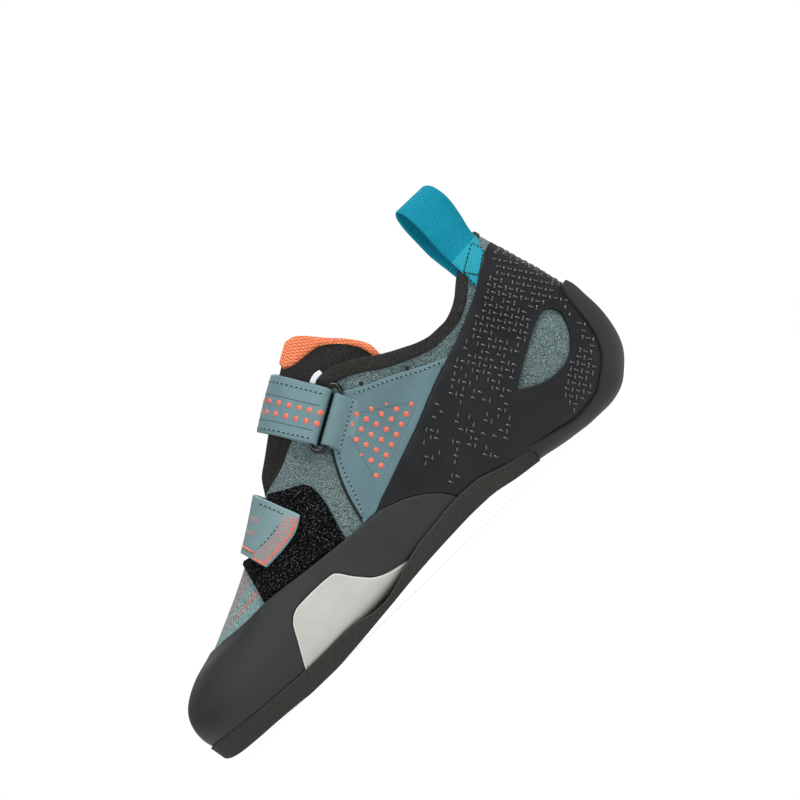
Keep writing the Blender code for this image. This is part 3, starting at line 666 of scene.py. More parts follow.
def ribbon(name, path, half_width, thick, at, materials, band=None):
    """A strip along a path of (s, n), mapped by at(s, n, w), with rounded selvedges."""
    path = np.asarray(path, float)
    step = unit(np.gradient(path, axis=0))
    side = np.column_stack([-step[:, 1], step[:, 0]])
    length = lengths_along(path)
    round_part = 0.5 * thick * (1 - np.cos(np.radians((0, 35, 65, 90))))
    marks = list(round_part) + list(np.linspace(0.5 * thick, 2 * half_width - 0.5 * thick, 17)[1:-1])
    if band:
        marks += [half_width + w + d for w in band[:2] for d in (-0.35, 0.35)]
    marks += [2 * half_width - r for r in round_part]
    across = np.array(sorted(marks)) - half_width
    near = np.clip((np.abs(across) - half_width + 0.5 * thick) / (0.5 * thick), 0, 1)
    half = 0.5 * thick * np.sqrt(1 - 0.94 * near ** 2)

    bm = bmesh.new()
    along, wide = (bm.verts.layers.float.new(name) for name in ("along", "wide"))
    index = bm.verts.layers.int.new("spot")
    uv = bm.loops.layers.uv.new("skin")
    made = bmesh.ops.create_grid(bm, x_segments=len(path) - 1, y_segments=len(across) - 1, size=0.5)
    spots = {}
    for v in made["verts"]:
        i = round((v.co.x + 0.5) * (len(path) - 1))
        j = round((v.co.y + 0.5) * (len(across) - 1))
        spots[v] = (i, j)
        v[along] = length[i]
        v[wide] = across[j]
    faces = list({f for v in made["verts"] for f in v.link_faces})
    for v, (i, j) in spots.items():
        v[index] = i * 1000 + j
    grown = bmesh.ops.extrude_face_region(bm, geom=faces, use_keep_orig=True)
    top = {g for g in grown["geom"] if isinstance(g, bmesh.types.BMVert)}
    for v in list(spots) + list(top):
        i, j = divmod(v[index], 1000)
        sink = 0.0
        if band and v in top:
            above = ease((across[j] - band[0] + 0.35) / 0.7)
            sink = 0.25 * float(above * ease((band[1] + 0.35 - across[j]) / 0.7))
        reach = (half[j] - sink) if v in top else -half[j]
        s, n = path[i] + reach * side[i]
        v.co = place(at(s, n, across[j]))
    outward(bm)
    for face in bm.faces:
        for loop in face.loops:
            loop[uv].uv = (loop.vert[along] * UV_STEP, loop.vert[wide] * UV_STEP)
    return to_object(name, bm, materials, 50.0)


class Girth:
    """The skin cut by planes across the instep: points by (s, n, w)."""

    def __init__(self):
        self.widths = np.linspace(-16.0, 16.0, 17)
        columns = slice(COLUMNS // 4, 3 * COLUMNS // 4 + 1)
        rows = (SKIN[:, COLUMNS // 2, 0] > 20.0) & (SKIN[:, COLUMNS // 2, 0] < 205.0)
        table = SKIN[rows, columns]
        level = (table[:, :, [0, 2]] - SLOT) @ ACROSS
        lines = []
        for w in self.widths:
            lines.append([
                [np.interp(w, level[:, k], table[:, k, c]) for c in range(3)]
                for k in range(table.shape[1])
            ])
        self.lines = np.array(lines)
        ridge = table.shape[1] // 2
        step = np.linalg.norm(np.diff(self.lines, axis=1), axis=2)
        length = np.concatenate([np.zeros((len(self.widths), 1)), np.cumsum(step, axis=1)], axis=1)
        self.s = length[:, ridge : ridge + 1] - length
        out = np.cross(np.gradient(self.lines, axis=0), np.gradient(self.lines, axis=1))
        self.facing = unit(out)
        self.ridge = ridge

    def point(self, s, n, w):
        k = int(np.clip(np.searchsorted(self.widths, w) - 1, 0, len(self.widths) - 2))
        share = (w - self.widths[k]) / (self.widths[k + 1] - self.widths[k])
        ends = []
        for row in (k, k + 1):
            at = self.s[row][::-1]
            base = [np.interp(s, at, self.lines[row][::-1, c]) for c in range(3)]
            facing = [np.interp(s, at, self.facing[row][::-1, c]) for c in range(3)]
            ends.append(np.array(base) + n * np.array(facing))
        return ends[0] + share * (ends[1] - ends[0])

    def s_at_slot(self):
        middle = self.lines[len(self.widths) // 2]
        down = (middle[:, [0, 2]] - SLOT) @ DOWN
        s = self.s[len(self.widths) // 2]
        return float(np.interp(0.0, down[: self.ridge][::-1], s[: self.ridge][::-1]))

    def s_at_height(self, z):
        middle = self.lines[len(self.widths) // 2]
        s = self.s[len(self.widths) // 2]
        return float(np.interp(-z, -middle[self.ridge :, 2], s[self.ridge :]))


GIRTH = Girth()


def side_spot(x, z, out, outer=False):
    """A point at a side-view place on a layer of the inner or outer side, and its axes."""

    def lie(px, pz):
        bottom, wide, top, medial, ridge, lateral, low_power, high_power = last_at(px)
        height, power = (top - wide, high_power) if pz > wide else (wide - bottom, low_power)
        drop = min(abs(pz - wide) / height, 0.9999)
        reach = abs((lateral if outer else medial) - ridge) * (1 - drop ** power) ** (1 / power)
        return np.array([px, ridge + (reach if outer else -reach), pz])

    here = lie(x, z)
    along = lie(x + 0.3, z) - lie(x - 0.3, z)
    up = lie(x, z + 0.3) - lie(x, z - 0.3)
    facing = unit(np.cross(up, along) if outer else np.cross(along, up))
    here = here - facing * dent(here[None])[0]
    return here + facing * out, along / 0.6, up / 0.6, facing


def seat(x, z, heading, out, outer=False):
    """A frame on the side of the shoe whose first axis follows a side-view heading."""
    here, along, up, facing = side_spot(x, z, 0.0, outer)
    here, _, _, facing = side_spot(x - facing[0] * out, z - facing[2] * out, out, outer)
    tangent = heading[0] * along + heading[1] * up
    return matrix(here, tangent, facing)


def matrix(here, tangent, facing):
    tangent = unit(tangent - facing * (tangent @ facing))
    across = np.cross(facing, tangent)
    made = Matrix((tangent, across, facing)).transposed().to_4x4()
    made.translation = Vector(place(here))
    return made


def blocks(name, seats, size, bevel, materials):
    """Small bars of one size, each on its seat, with their edges taken off."""
    bm = bmesh.new()
    scale = Matrix.Diagonal((*(s * MM for s in size), 1.0))
    for where in seats:
        bmesh.ops.create_cube(bm, size=1.0, matrix=where @ scale)
    bmesh.ops.bevel(
        bm, geom=list(bm.edges), offset=bevel * MM, offset_type="OFFSET", segments=1, profile=0.5,
        affect="EDGES", material=-1,
    )
    obj = to_object(name, bm, materials, 60.0)
    return obj


def studs(name, seats, radius, height, materials, corners=8):
    """Low studs, narrower at the top, round or square with rounded corners."""
    bm = bmesh.new()
    for where, size in seats:
        foot = radius * size * MM
        made = bmesh.ops.create_cone(
            bm, cap_ends=True, segments=corners, radius1=foot, radius2=0.8 * foot,
            depth=height * MM, matrix=where @ Matrix.Rotation(math.pi / corners, 4, "Z"),
        )
        if corners == 4:
            out = where.col[2].xyz
            edges = {e for v in made["verts"] for e in v.link_edges}
            upright = [e for e in edges if abs((e.verts[0].co - e.verts[1].co).normalized() @ out) > 0.3]
            bmesh.ops.bevel(
                bm, geom=upright, offset=0.42 * foot, offset_type="OFFSET", segments=2, profile=0.5,
                affect="EDGES", material=-1,
            )
    obj = to_object(name, bm, materials, 60.0)
    return obj


def tube(name, lines, radius, materials):
    """Round cords along lines of (point, facing), closed at their ends."""
    bm = bmesh.new()
    for line in lines:
        points = np.array([p for p, _ in line])
        along = np.gradient(points, axis=0)

        def at(i, j):
            facing = line[i][1]
            across = unit(np.cross(facing, along[i]))
            t = 2 * math.pi * j / 6
            return points[i] + radius * (math.cos(t) * across + math.sin(t) * facing)

        mapped_grid(len(points), 7, at, bm)
    bmesh.ops.remove_doubles(bm, verts=bm.verts, dist=2e-6)
    ends = [e for e in bm.edges if e.is_boundary]
    bmesh.ops.holes_fill(bm, edges=ends, sides=8)
    outward(bm)
    obj = to_object(name, bm, materials, 60.0)
    return obj


def side_line(points, out, outer=False):
    """A side-view line laid on a layer, as (point, facing)."""
    laid = []
    for x, z in points:
        here, _, _, facing = side_spot(x, z, 0.0, outer)
        here, _, _, facing = side_spot(x - facing[0] * out, z - facing[2] * out, out, outer)
        laid.append((here, facing))
    return laid


# Finishes.
class Finish:
    """A material put together from nodes."""

    def __init__(self, name, roughness, **fixed):
        self.material = bpy.data.materials.new(name)
        self.material.use_nodes = True
        self.tree = self.material.node_tree
        self.shader = self.tree.nodes["Principled BSDF"]
        self.shader.inputs["Roughness"].default_value = roughness
        for socket, value in fixed.items():
            self.shader.inputs[socket.replace("_", " ")].default_value = value
        self.coords = self.tree.nodes.new("ShaderNodeTexCoord")

    def add(self, kind, inputs, **settings):
        node = self.tree.nodes.new(kind)
        for key, value in settings.items():
            setattr(node, key, value)
        for key, value in inputs.items():
            if isinstance(value, bpy.types.NodeSocket):
                self.tree.links.new(value, node.inputs[key])
            else:
                node.inputs[key].default_value = value
        return node

    def mapped(self, scale, source="Object", turn=(0, 0, 0)):
        inputs = {"Vector": self.coords.outputs[source], "Scale": scale, "Rotation": turn}
        return self.add("ShaderNodeMapping", inputs).outputs["Vector"]

    def noise(self, scale, detail=2.0, rough=0.5, at=None):
        at = at or self.coords.outputs["Object"]
        inputs = {"Vector": at, "Scale": scale, "Detail": detail, "Roughness": rough}
        return self.add("ShaderNodeTexNoise", inputs).outputs["Fac"]

    def ramp(self, value, *stops):
        node = self.add("ShaderNodeValToRGB", {"Fac": value})
        elements = node.color_ramp.elements
        while len(elements) < len(stops):
            elements.new(0.5)
        for element, (position, colour) in zip(elements, stops):
            element.position = position
            element.color = (*((colour,) * 3 if isinstance(colour, float) else colour), 1.0)
        return node.outputs["Color"]

    def mix(self, share, one, two, blend="MIX"):
        node = self.tree.nodes.new("ShaderNodeMix")
        node.data_type = "RGBA"
        node.blend_type = blend
        for socket, value in zip((node.inputs[0], node.inputs[6], node.inputs[7]), (share, one, two)):
            if isinstance(value, bpy.types.NodeSocket):
                self.tree.links.new(value, socket)
            else:
                socket.default_value = value if isinstance(value, float) else (*value, 1.0)
        return node.outputs[2]

    def math(self, operation, one, two=0.0, three=0.0):
        inputs = {k: value for k, value in enumerate((one, two, three))}
        return self.add("ShaderNodeMath", inputs, operation=operation).outputs[0]

    def parts(self, vector):
        node = self.add("ShaderNodeSeparateXYZ", {"Vector": vector})
        return node.outputs["X"], node.outputs["Y"], node.outputs["Z"]

    def attribute(self, name):
        node = self.tree.nodes.new("ShaderNodeAttribute")
        node.attribute_name = name
        return node.outputs["Fac"]

    def bump(self, height, distance, strength):
        inputs = {"Height": height, "Distance": distance * MM, "Strength": strength}
        return self.add("ShaderNodeBump", inputs).outputs["Normal"]

    def finish(self, colour, normal=None, roughness=None):
        for socket, value in (("Base Color", colour), ("Normal", normal), ("Roughness", roughness)):
            if value:
                self.tree.links.new(value, self.shader.inputs[socket])
        return self.material


def suede():
    """Speckled microsuede, with the woven toe in front of the pile pad."""
    f = Finish(
        "suede", 0.92, Sheen_Weight=0.1, Sheen_Roughness=0.5, Specular_IOR_Level=0.25,
        Sheen_Tint=(0.6, 0.75, 0.75, 1.0),
    )
    nap = f.noise(2300.0, 1.0, 0.6)
    cloud = f.noise(90.0, 3.0)
    plain = f.ramp(
        nap, (0.34, (0.022, 0.040, 0.044)), (0.50, (0.094, 0.143, 0.148)), (0.67, (0.27, 0.345, 0.33)),
    )
    clouds = f.ramp(cloud, (0.3, (0.72, 0.74, 0.74)), (0.7, (1.0, 1.0, 1.0)))
    plain = f.mix(0.5, plain, clouds, "MULTIPLY")
    x, _, z = f.parts(f.mapped((1000.0, 1000.0, 1000.0)))
    back = f.math("MAXIMUM", f.math("ADD", x, CENTRE_X - 35.0), 0.5)
    rise = f.math("ADD", f.math("MULTIPLY_ADD", back, 0.073, -44.6), z)
    share = f.math("DIVIDE", rise, f.math("MULTIPLY", back, 0.57))
    wander = f.noise(1.0, 2.0, 0.5, f.mapped((30.0, 60.0, 1.0), "UV"))
    share = f.math("MULTIPLY_ADD", wander, 0.16, f.math("SUBTRACT", share, 0.08))
    teal, pink, coral = (0.150, 0.246, 0.238), (0.218, 0.192, 0.196), (0.33, 0.178, 0.155)
    woven = f.ramp(
        share, (0.19, teal), (0.26, pink), (0.33, coral), (0.40, pink), (0.47, teal), (0.60, teal),
        (0.70, pink),
    )
    streak = f.noise(1.0, 2.0, 0.7, f.mapped((70.0, 230.0, 1.0), "UV"))
    shade = f.ramp(streak, (0.39, 0.34), (0.5, 1.0), (0.60, 1.85))
    woven = f.mix(1.0, woven, shade, "MULTIPLY")
    front = f.math("LESS_THAN", x, 65.0 - CENTRE_X)
    height = f.mix(front, nap, streak)
    return f.finish(f.mix(front, plain, woven), f.bump(height, 0.35, 0.55))


def lining():
    f = Finish("lining", 0.95)
    weave = f.noise(1400.0, 2.0)
    colour = f.ramp(weave, (0.3, (0.05, 0.055, 0.055)), (0.7, (0.14, 0.15, 0.15)))
    return f.finish(colour, f.bump(weave, 0.2, 0.5))


def board():
    f = Finish("insole_board", 0.92)
    felt = f.noise(1100.0, 3.0, 0.6)
    cloud = f.noise(70.0, 2.0)
    tone = f.ramp(felt, (0.3, (0.30, 0.26, 0.20)), (0.7, (0.52, 0.47, 0.38)))
    tone = f.mix(0.4, tone, f.ramp(cloud, (0.3, 0.6), (0.7, 1.0)), "MULTIPLY")
    return f.finish(tone, f.bump(felt, 0.25, 0.5))


def leather(name, tone=(0.104, 0.189, 0.211)):
    """Smooth coated synthetic leather with a fine grain and paler worn edges."""
    f = Finish(name, 0.56, Specular_IOR_Level=0.42)
    grain = f.noise(2100.0, 3.0, 0.55)
    cloud = f.noise(55.0, 3.0)
    dark = tuple(0.86 * c for c in tone)
    light = tuple(min(1.0, 1.12 * c) for c in tone)
    colour = f.ramp(cloud, (0.32, dark), (0.5, tone), (0.7, light))
    fleck = f.ramp(grain, (0.35, 0.9), (0.65, 1.0))
    colour = f.mix(1.0, colour, fleck, "MULTIPLY")
    edge = f.ramp(f.attribute("edge"), (0.12, 0.5), (0.6, 0.0))
    colour = f.mix(edge, colour, tuple(1.5 * c for c in tone))
    shine = f.ramp(f.noise(380.0, 2.0), (0.35, 0.50), (0.65, 0.62))
    return f.finish(colour, f.bump(grain, 0.05, 0.5), shine)


def strap_leather():
    """The panel's leather for the strip of the strap, whose mesh has no edge value."""
    f = Finish("strap_leather", 0.56, Specular_IOR_Level=0.42)
    grain = f.noise(2100.0, 3.0, 0.55)
    cloud = f.noise(70.0, 3.0)
    colour = f.ramp(
        cloud, (0.32, (0.118, 0.203, 0.222)), (0.5, (0.132, 0.228, 0.248)), (0.7, (0.146, 0.252, 0.272)),
    )
    fleck = f.ramp(grain, (0.35, 0.9), (0.65, 1.0))
    shine = f.ramp(f.noise(380.0, 2.0), (0.35, 0.50), (0.65, 0.62))
    return f.finish(f.mix(1.0, colour, fleck, "MULTIPLY"), f.bump(grain, 0.05, 0.5), shine)


def rubber(name, dark, light, rough=(0.5, 0.62), scuff=0.25, gloss=0.30):
    """Smooth moulded rubber with faint cloudiness and rub marks."""
    f = Finish(name, 0.55, Specular_IOR_Level=gloss)
    cloud = f.noise(48.0, 4.0, 0.6)
    fine = f.noise(2600.0, 2.0, 0.5)
    colour = f.ramp(cloud, (0.3, dark), (0.72, light))
    rubs = f.noise(1.0, 4.0, 0.65, f.mapped((260.0, 90.0, 420.0), turn=(0.0, 0.7, 0.2)))
    colour = f.mix(f.ramp(rubs, (0.60, 0.0), (0.82, scuff)), colour, tuple(2.2 * c for c in light))
    shine = f.ramp(cloud, (0.3, rough[0]), (0.7, rough[1]))
    return f.finish(colour, f.bump(fine, 0.04, 0.4), shine)


def ground_rubber(name):
    """The buffed edge of the sole: crumbs of grey in black rubber, and a painted highlight on its top
    corner.
    """
    f = Finish(name, 0.8, Specular_IOR_Level=0.3)
    crumb = f.noise(1700.0, 2.0, 0.65)
    drag = f.noise(1.0, 2.0, 0.6, f.mapped((500.0, 500.0, 1700.0)))
    speck = f.math("MULTIPLY_ADD", drag, 0.5, f.math("MULTIPLY", crumb, 0.5))
    colour = f.ramp(
        speck, (0.34, (0.019, 0.019, 0.017)), (0.52, (0.027, 0.027, 0.024)), (0.72, (0.044, 0.044, 0.039)),
    )
    # Painted highlight: a pale band along the top corner of the edge.
    _, rim, _ = f.parts(f.mapped(UV_IN_MM, "UV"))
    line = f.ramp(f.math("ABSOLUTE", rim), (0.25, 0.35), (0.7, 0.0))
    colour = f.mix(line, colour, (0.12, 0.12, 0.11))
    return f.finish(colour, f.bump(speck, 0.10, 0.6))


def pale_rubber():
    f = Finish("pale_rubber", 0.6, Specular_IOR_Level=0.35)
    cloud = f.noise(60.0, 4.0, 0.6)
    fine = f.noise(2200.0, 2.0)
    colour = f.ramp(cloud, (0.3, (0.425, 0.43, 0.395)), (0.7, (0.51, 0.515, 0.48)))
    border = f.ramp(f.attribute("edge"), (0.28, 0.9), (0.75, 0.0))
    colour = f.mix(border, colour, (0.74, 0.74, 0.70))
    smudge = f.ramp(f.noise(240.0, 5.0, 0.7), (0.62, 0.0), (0.86, 0.22))
    colour = f.mix(smudge, colour, (0.30, 0.30, 0.28))
    return f.finish(colour, f.bump(fine, 0.04, 0.4))


def pile():
    """Napped loop pile: black with grey curls."""
    f = Finish("pile", 1.0, Specular_IOR_Level=0.08)
    curl = f.noise(1350.0, 1.5, 0.6)
    fleck = f.noise(2600.0, 2.0, 0.6)
    both = f.math("MULTIPLY_ADD", fleck, 0.25, f.math("MULTIPLY", curl, 0.75))
    colour = f.ramp(
        both, (0.46, (0.001, 0.001, 0.0012)), (0.56, (0.004, 0.004, 0.005)), (0.65, (0.078, 0.08, 0.084)),
    )
    return f.finish(colour, f.bump(both, 0.9, 0.8))


def woven_black(name, dark, light, pitch):
    """A dense woven or knitted black cloth, read along the skin."""
    f = Finish(name, 0.95, Sheen_Weight=0.05, Sheen_Roughness=0.5, Specular_IOR_Level=0.15)
    u, v, _ = f.parts(f.mapped((UV_IN_MM[0] / pitch, UV_IN_MM[1] / pitch, 1.0), "UV"))
    one = f.math("SINE", f.math("MULTIPLY", u, 2 * math.pi))
    two = f.math("SINE", f.math("MULTIPLY", v, 2 * math.pi))
    weave = f.math("MULTIPLY_ADD", f.math("MULTIPLY", one, two), 0.25, 0.5)
    fuzz = f.noise(1900.0, 2.0, 0.6)
    both = f.math("MULTIPLY_ADD", weave, 0.45, f.math("MULTIPLY", fuzz, 0.55))
    colour = f.ramp(both, (0.36, dark), (0.66, light))
    return f.finish(colour, f.bump(both, 0.35, 0.7))


def knit():
    """Orange weft knit: columns of small V-shaped stitches."""
    f = Finish("orange_knit", 0.85, Sheen_Weight=0.3, Sheen_Roughness=0.4, Sheen_Tint=(1.0, 0.6, 0.4, 1.0))
    u, v, _ = f.parts(f.mapped(UV_IN_MM, "UV"))
    arm = f.math("PINGPONG", f.math("DIVIDE", v, 1.9), 0.5)
    phase = f.math("MULTIPLY_ADD", arm, 1.2, f.math("DIVIDE", u, 1.3))
    stitch = f.math("SINE", f.math("MULTIPLY", phase, 2 * math.pi))
    stitch = f.math("MULTIPLY_ADD", stitch, 0.5, 0.5)
    fuzz = f.noise(2400.0, 2.0)
    both = f.math("MULTIPLY_ADD", fuzz, 0.35, f.math("MULTIPLY", stitch, 0.65))
    colour = f.ramp(
        both, (0.15, (0.60, 0.080, 0.026)), (0.45, (0.87, 0.195, 0.072)), (0.8, (0.98, 0.36, 0.165)),
    )
    return f.finish(colour, f.bump(both, 0.45, 0.8))


def grosgrain():
    """Ribbed webbing, with the sewn box at its foot a little paler."""
    f = Finish("grosgrain", 0.7, Specular_IOR_Level=0.1)
    u, v, _ = f.parts(f.mapped(UV_IN_MM, "UV"))
    rib = f.math("SINE", f.math("MULTIPLY", u, 2 * math.pi / 0.86))
    thread = f.math("SINE", f.math("MULTIPLY", v, 2 * math.pi / 0.7))
    rib = f.math("MULTIPLY_ADD", rib, 0.36, f.math("MULTIPLY_ADD", thread, 0.08, 0.5))
    fuzz = f.noise(900.0, 3.0)
    both = f.math("MULTIPLY_ADD", fuzz, 0.3, f.math("MULTIPLY", rib, 0.7))
    colour = f.ramp(
        both, (0.15, (0.002, 0.11, 0.17)), (0.5, (0.003, 0.22, 0.325)), (0.85, (0.008, 0.34, 0.47)),
    )
    colour = f.mix(f.math("LESS_THAN", u, 13.5), colour, f.mix(0.35, colour, (0.06, 0.50, 0.60)))
    return f.finish(colour, f.bump(both, 0.22, 0.8))


def wire():
    f = Finish("black_wire", 0.22, Coat_Weight=0.25, Coat_Roughness=0.1, Specular_IOR_Level=0.3)
    rub = f.noise(500.0, 3.0)
    colour = f.ramp(rub, (0.4, (0.003, 0.003, 0.0035)), (0.8, (0.012, 0.012, 0.013)))
    return f.finish(colour, f.bump(rub, 0.02, 0.3), f.ramp(rub, (0.3, 0.16), (0.8, 0.34)))


def thread(name, dark, light):
    f = Finish(name, 0.75, Sheen_Weight=0.05, Specular_IOR_Level=0.2)
    twist = f.noise(3000.0, 2.0)
    return f.finish(f.ramp(twist, (0.35, dark), (0.65, light)), f.bump(twist, 0.08, 0.6))


def print_ink():
    f = Finish("coral_print", 0.5)
    mottle = f.noise(1400.0, 3.0)
    colour = f.ramp(
        mottle, (0.3, (0.62, 0.105, 0.062)), (0.6, (0.80, 0.165, 0.10)), (0.8, (0.90, 0.25, 0.16)),
    )
    return f.finish(colour, f.bump(mottle, 0.05, 0.5))


def white_tape():
    f = Finish("white_tape", 0.7)
    weave = f.noise(1600.0, 2.0)
    colour = f.ramp(weave, (0.3, (0.62, 0.64, 0.68)), (0.7, (0.86, 0.88, 0.90)))
    return f.finish(colour, f.bump(weave, 0.1, 0.5))


SUEDE = suede()
LINING = lining()
BOARD = board()
LEATHER = leather("panel_leather")
TAB_LEATHER = leather("tab_leather", (0.168, 0.268, 0.282))
STRIP_LEATHER = strap_leather()
TOE_RUBBER = rubber("toe_rubber", (0.019, 0.021, 0.021), (0.026, 0.028, 0.028))
HEEL_RUBBER = rubber("heel_rubber", (0.008, 0.009, 0.010), (0.013, 0.014, 0.015), (0.38, 0.5), 0.12, 0.22)
DASH_RUBBER = rubber("dash_rubber", (0.012, 0.013, 0.014), (0.020, 0.021, 0.022), (0.16, 0.24), 0.1, 1.0)
CUP_RUBBER = rubber("cup_rubber", (0.017, 0.017, 0.015), (0.024, 0.024, 0.021), (0.55, 0.7), 0.2, 0.25)
EDGE_RUBBER = ground_rubber("ground_rubber")
PALE_RUBBER = pale_rubber()
PILE = pile()
TONGUE_CLOTH = woven_black("tongue_cloth", (0.002, 0.002, 0.002), (0.052, 0.050, 0.046), 0.9)
TAPE_CLOTH = woven_black("tape_cloth", (0.002, 0.002, 0.002), (0.054, 0.050, 0.045), 0.8)
KNIT = knit()
GROSGRAIN = grosgrain()
WIRE_BLACK = wire()
THREAD_PALE = thread("pale_thread", (0.15, 0.25, 0.26), (0.32, 0.46, 0.46))
# Black thread, black backing edges and seams, and also dark lines and discs painted as shade in stitch
# holes, vent holes and under the ring's slot.
DARK_AND_PAINTED_SHADE = thread("dark_and_painted_shade", (0.004, 0.006, 0.007), (0.020, 0.026, 0.028))
# Dark lines painted along embossed grooves and steps: painted shade.
GROOVE_PAINTED_SHADE = thread("painted_groove_shade", (0.045, 0.085, 0.095), (0.07, 0.125, 0.14))
CORAL = print_ink()
WHITE_TAPE = white_tape()


# Skins of the shoe.
def dress_upper():
    stations = np.linspace(26.0, 230.0, 60)
    rows = np.array([last_at(x) for x in stations])
    opening_inner = np.column_stack([stations, rows[:, MEDIAL] + TURNED_IN])
    opening_outer = np.column_stack([stations, rows[:, LATERAL] - TURNED_IN])

    def sole_hole(points):
        inner = points[:, 1] - np.interp(points[:, 0], *opening_inner.T)
        outer = np.interp(points[:, 0], *opening_outer.T) - points[:, 1]
        ends = np.minimum(points[:, 0] - stations[0], stations[-1] - points[:, 0])
        return np.minimum.reduce([inner, outer, ends, 17.0 - points[:, 2]])

    above = left_of(np.vstack([THROAT, COLLAR[1:]]))
    region = meet(either(away(above), lambda p: 69.0 - p[:, 0]), away(sole_hole))
    upper = skin_piece("upper_skin", region, 0.0, -WALL, soft=0.4, materials=(SUEDE, LINING), lined=True)
    stands_for(upper, "upper")


def dress_insole():
    def board_top(x):
        return through(LAST_TURNS, LAST[:, 1 + BOTTOM], turn_of(x)) + WALL + GAP + INSOLE

    def below_top(points):
        ends = np.minimum(points[:, 0] - 8.0, 246.0 - points[:, 0])
        return np.minimum(board_top(points[:, 0]) - points[:, 2], ends)

    def lift(points):
        points = points.copy()
        points[:, 2] = board_top(points[:, 0])
        return points

    piece = skin_piece(
        "insole_board", meet(below_top), -WALL - GAP, -WALL - 2 * GAP, soft=0.0, inner=lift, cells=(90, 90),
        materials=(BOARD,),
    )
    stands_for(piece, "insole")


def insert_field(grow=0.0):
    low = lambda p: p[:, 2] - inner_rim(p[:, 0]) + 1.2 + grow
    under = lambda p: -p[:, 1] - 22.0 + grow
    return meet(away(left_of(INSERT_TOP), -grow), low, under)


RUBBER_CELLS = (180, 160)


def dress_rands():
    hole = insert_field(0.3)
    outside_hole = either(*(away(edge) for edge in hole.edges))
    region = meet(away(left_of(RAND_TOP)), away(left_of(RAND_REAR)), outside_hole)
    toe_edge = left_of(RAND_TOP)
    feather = lambda p: toe_edge(p) - 7.0 * ease((p[:, 0] - 46.0) / 24.0)
    reliefs = ((feather, -6.0, -0.3, -1.15),)
    piece = skin_piece(
        "toe_rand_skin", region, RAND_OUT, RAND_IN, soft=0.7, reliefs=reliefs, cells=RUBBER_CELLS,
        materials=(TOE_RUBBER,),
    )
    stands_for(piece, "toe_rand")

    piece = skin_piece(
        "insert_skin", insert_field(), INSERT_OUT, RAND_IN, soft=0.7, materials=(PALE_RUBBER,),
    )
    stands_for(piece, "rand_insert")

    window = either(left_of(WINDOW_TOP), away(left_of(WINDOW_LOW)))
    region = meet(away(left_of(HEEL_FRONT)), inset(left_of(RAND_REAR), 0.1), window)
    piece = skin_piece(
        "heel_rand_skin", region, RAND_OUT, RAND_IN, soft=0.7, cells=RUBBER_CELLS, materials=(HEEL_RUBBER,),
    )
    stands_for(piece, "heel_rand")

    border = left_of(CUP_TOP)
    region = meet(away(border), lambda p: p[:, 0] - 189.9)
    thinned = lambda p: border(p) - 4.6 * ease((p[:, 2] - 42.0) / 8.0)
    reliefs = ((thinned, -8.0, 0.2, -1.3),)
    thin = lambda x, around: CUP_OUT - 0.8 * ease((208.0 - x) / 18.0)
    piece = skin_piece(
        "heel_cup_skin", region, thin, SOLE_IN - 0.4, soft=0.6, reliefs=reliefs, cells=RUBBER_CELLS,
        materials=(CUP_RUBBER,),
    )
    stands_for(piece, "heel_cup")


def dress_patches():
    rand_line = inset(left_of(RAND_TOP), 0.35)
    edges = [away(left_of(line)) for line in (PAD_FRONT, PAD_THROAT, PAD_EDGE)]
    region = meet(*edges, rand_line, inner_side)
    piece = skin_piece("pile_pad", region, PAD_OUT, RAND_IN, soft=0.9, materials=(PILE,))
    stands_for(piece, "loop_pad")

    corners = [np.array(c) for c in DOT_FIELD]
    dots = meet(*(left_of(np.array([a, b])) for a, b in zip(corners, corners[1:] + corners[:1])))
    rear = inset(left_of(HEEL_FRONT), 0.1)
    edges = [away(left_of(line)) for line in (PANEL_FRONT, PANEL_SLOT, PANEL_TOP)]
    region = meet(*edges, rear, rand_line, inner_side)
    reliefs = ((dots, -0.2, 0.35, -0.22),)
    panel = skin_piece(
        "panel_skin", region, PANEL_OUT, RAND_IN, soft=0.6, reliefs=reliefs, materials=(LEATHER,),
    )
    bar = GIRTH.s_at_slot() + 0.5 * RING_BARS
    line = panel_fold_line()
    path = np.vstack([[(bar + 2.5, 1.0)], fold(bar, RING_RISE, -90, -270, 14), line[1:]])
    turn = ribbon("panel_fold", path, 0.5 * STRAP_WIDTH - 1.0, WEB, GIRTH.point, (STRIP_LEATHER,))
    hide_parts("side_panel")


def panel_fold_line():
    """The panel's strip from the ring down to the panel, as (s, n)."""
    bar = GIRTH.s_at_slot() + 0.5 * RING_BARS
    return run((
        (bar, RING_RISE + 2.13), (bar + 1.6, 4.9), (bar + 3.6, 3.3), (bar + 5.4, 1.75), (bar + 7.0, 0.95),
        (bar + 10.0, 0.6),
    ))


def fold(s, n, start, end, steps):
    """The bend of a strip round a bar."""
    radius = 0.5 * WIRE + 0.48 + 0.5 * WEB
    turns = np.radians(np.linspace(start, end, steps))
    return [(s + radius * math.cos(t), n + radius * math.sin(t)) for t in turns]


def strap_inside(x, around):
    return 0.9 + 1.2 * ease((2.4 - around) / 0.5)


def strap_outside(x, around):
    return strap_inside(x, around) + 1.6


def dress_lower_strap():
    foot = lambda p: p[:, 2] - 42.4 + 0.0576 * (p[:, 0] - 77.6)
    tab = either(left_of(TAB_END), lambda p: p[:, 1] + 9.0)
    region = meet(left_of(STRAP_FRONT), left_of(STRAP_BACK), tab, foot)
    piece = skin_piece(
        "lower_strap_skin", region, strap_outside, strap_inside, soft=0.6, materials=(TAB_LEATHER,),
    )
    stands_for(piece, "lower_strap")


def tongue_out(x, around):
    """The tongue fills the throat and lies under the upper beside it."""
    under = -2.6 - 2.6 * ease((x - 86.0) / 40.0)
    reach = np.clip(0.11 + (x - 95.0) * 0.012, 0.10, 0.46)
    swell = (1.5 - under) * ease((x - 88.5) / 11.5)
    return under + swell * (0.5 + 0.5 * np.cos(math.pi * np.clip(np.abs(around - 2) / reach, 0, 1)))


def moved(offset, distance):
    return lambda x, around: rule(offset)(x, around) + distance


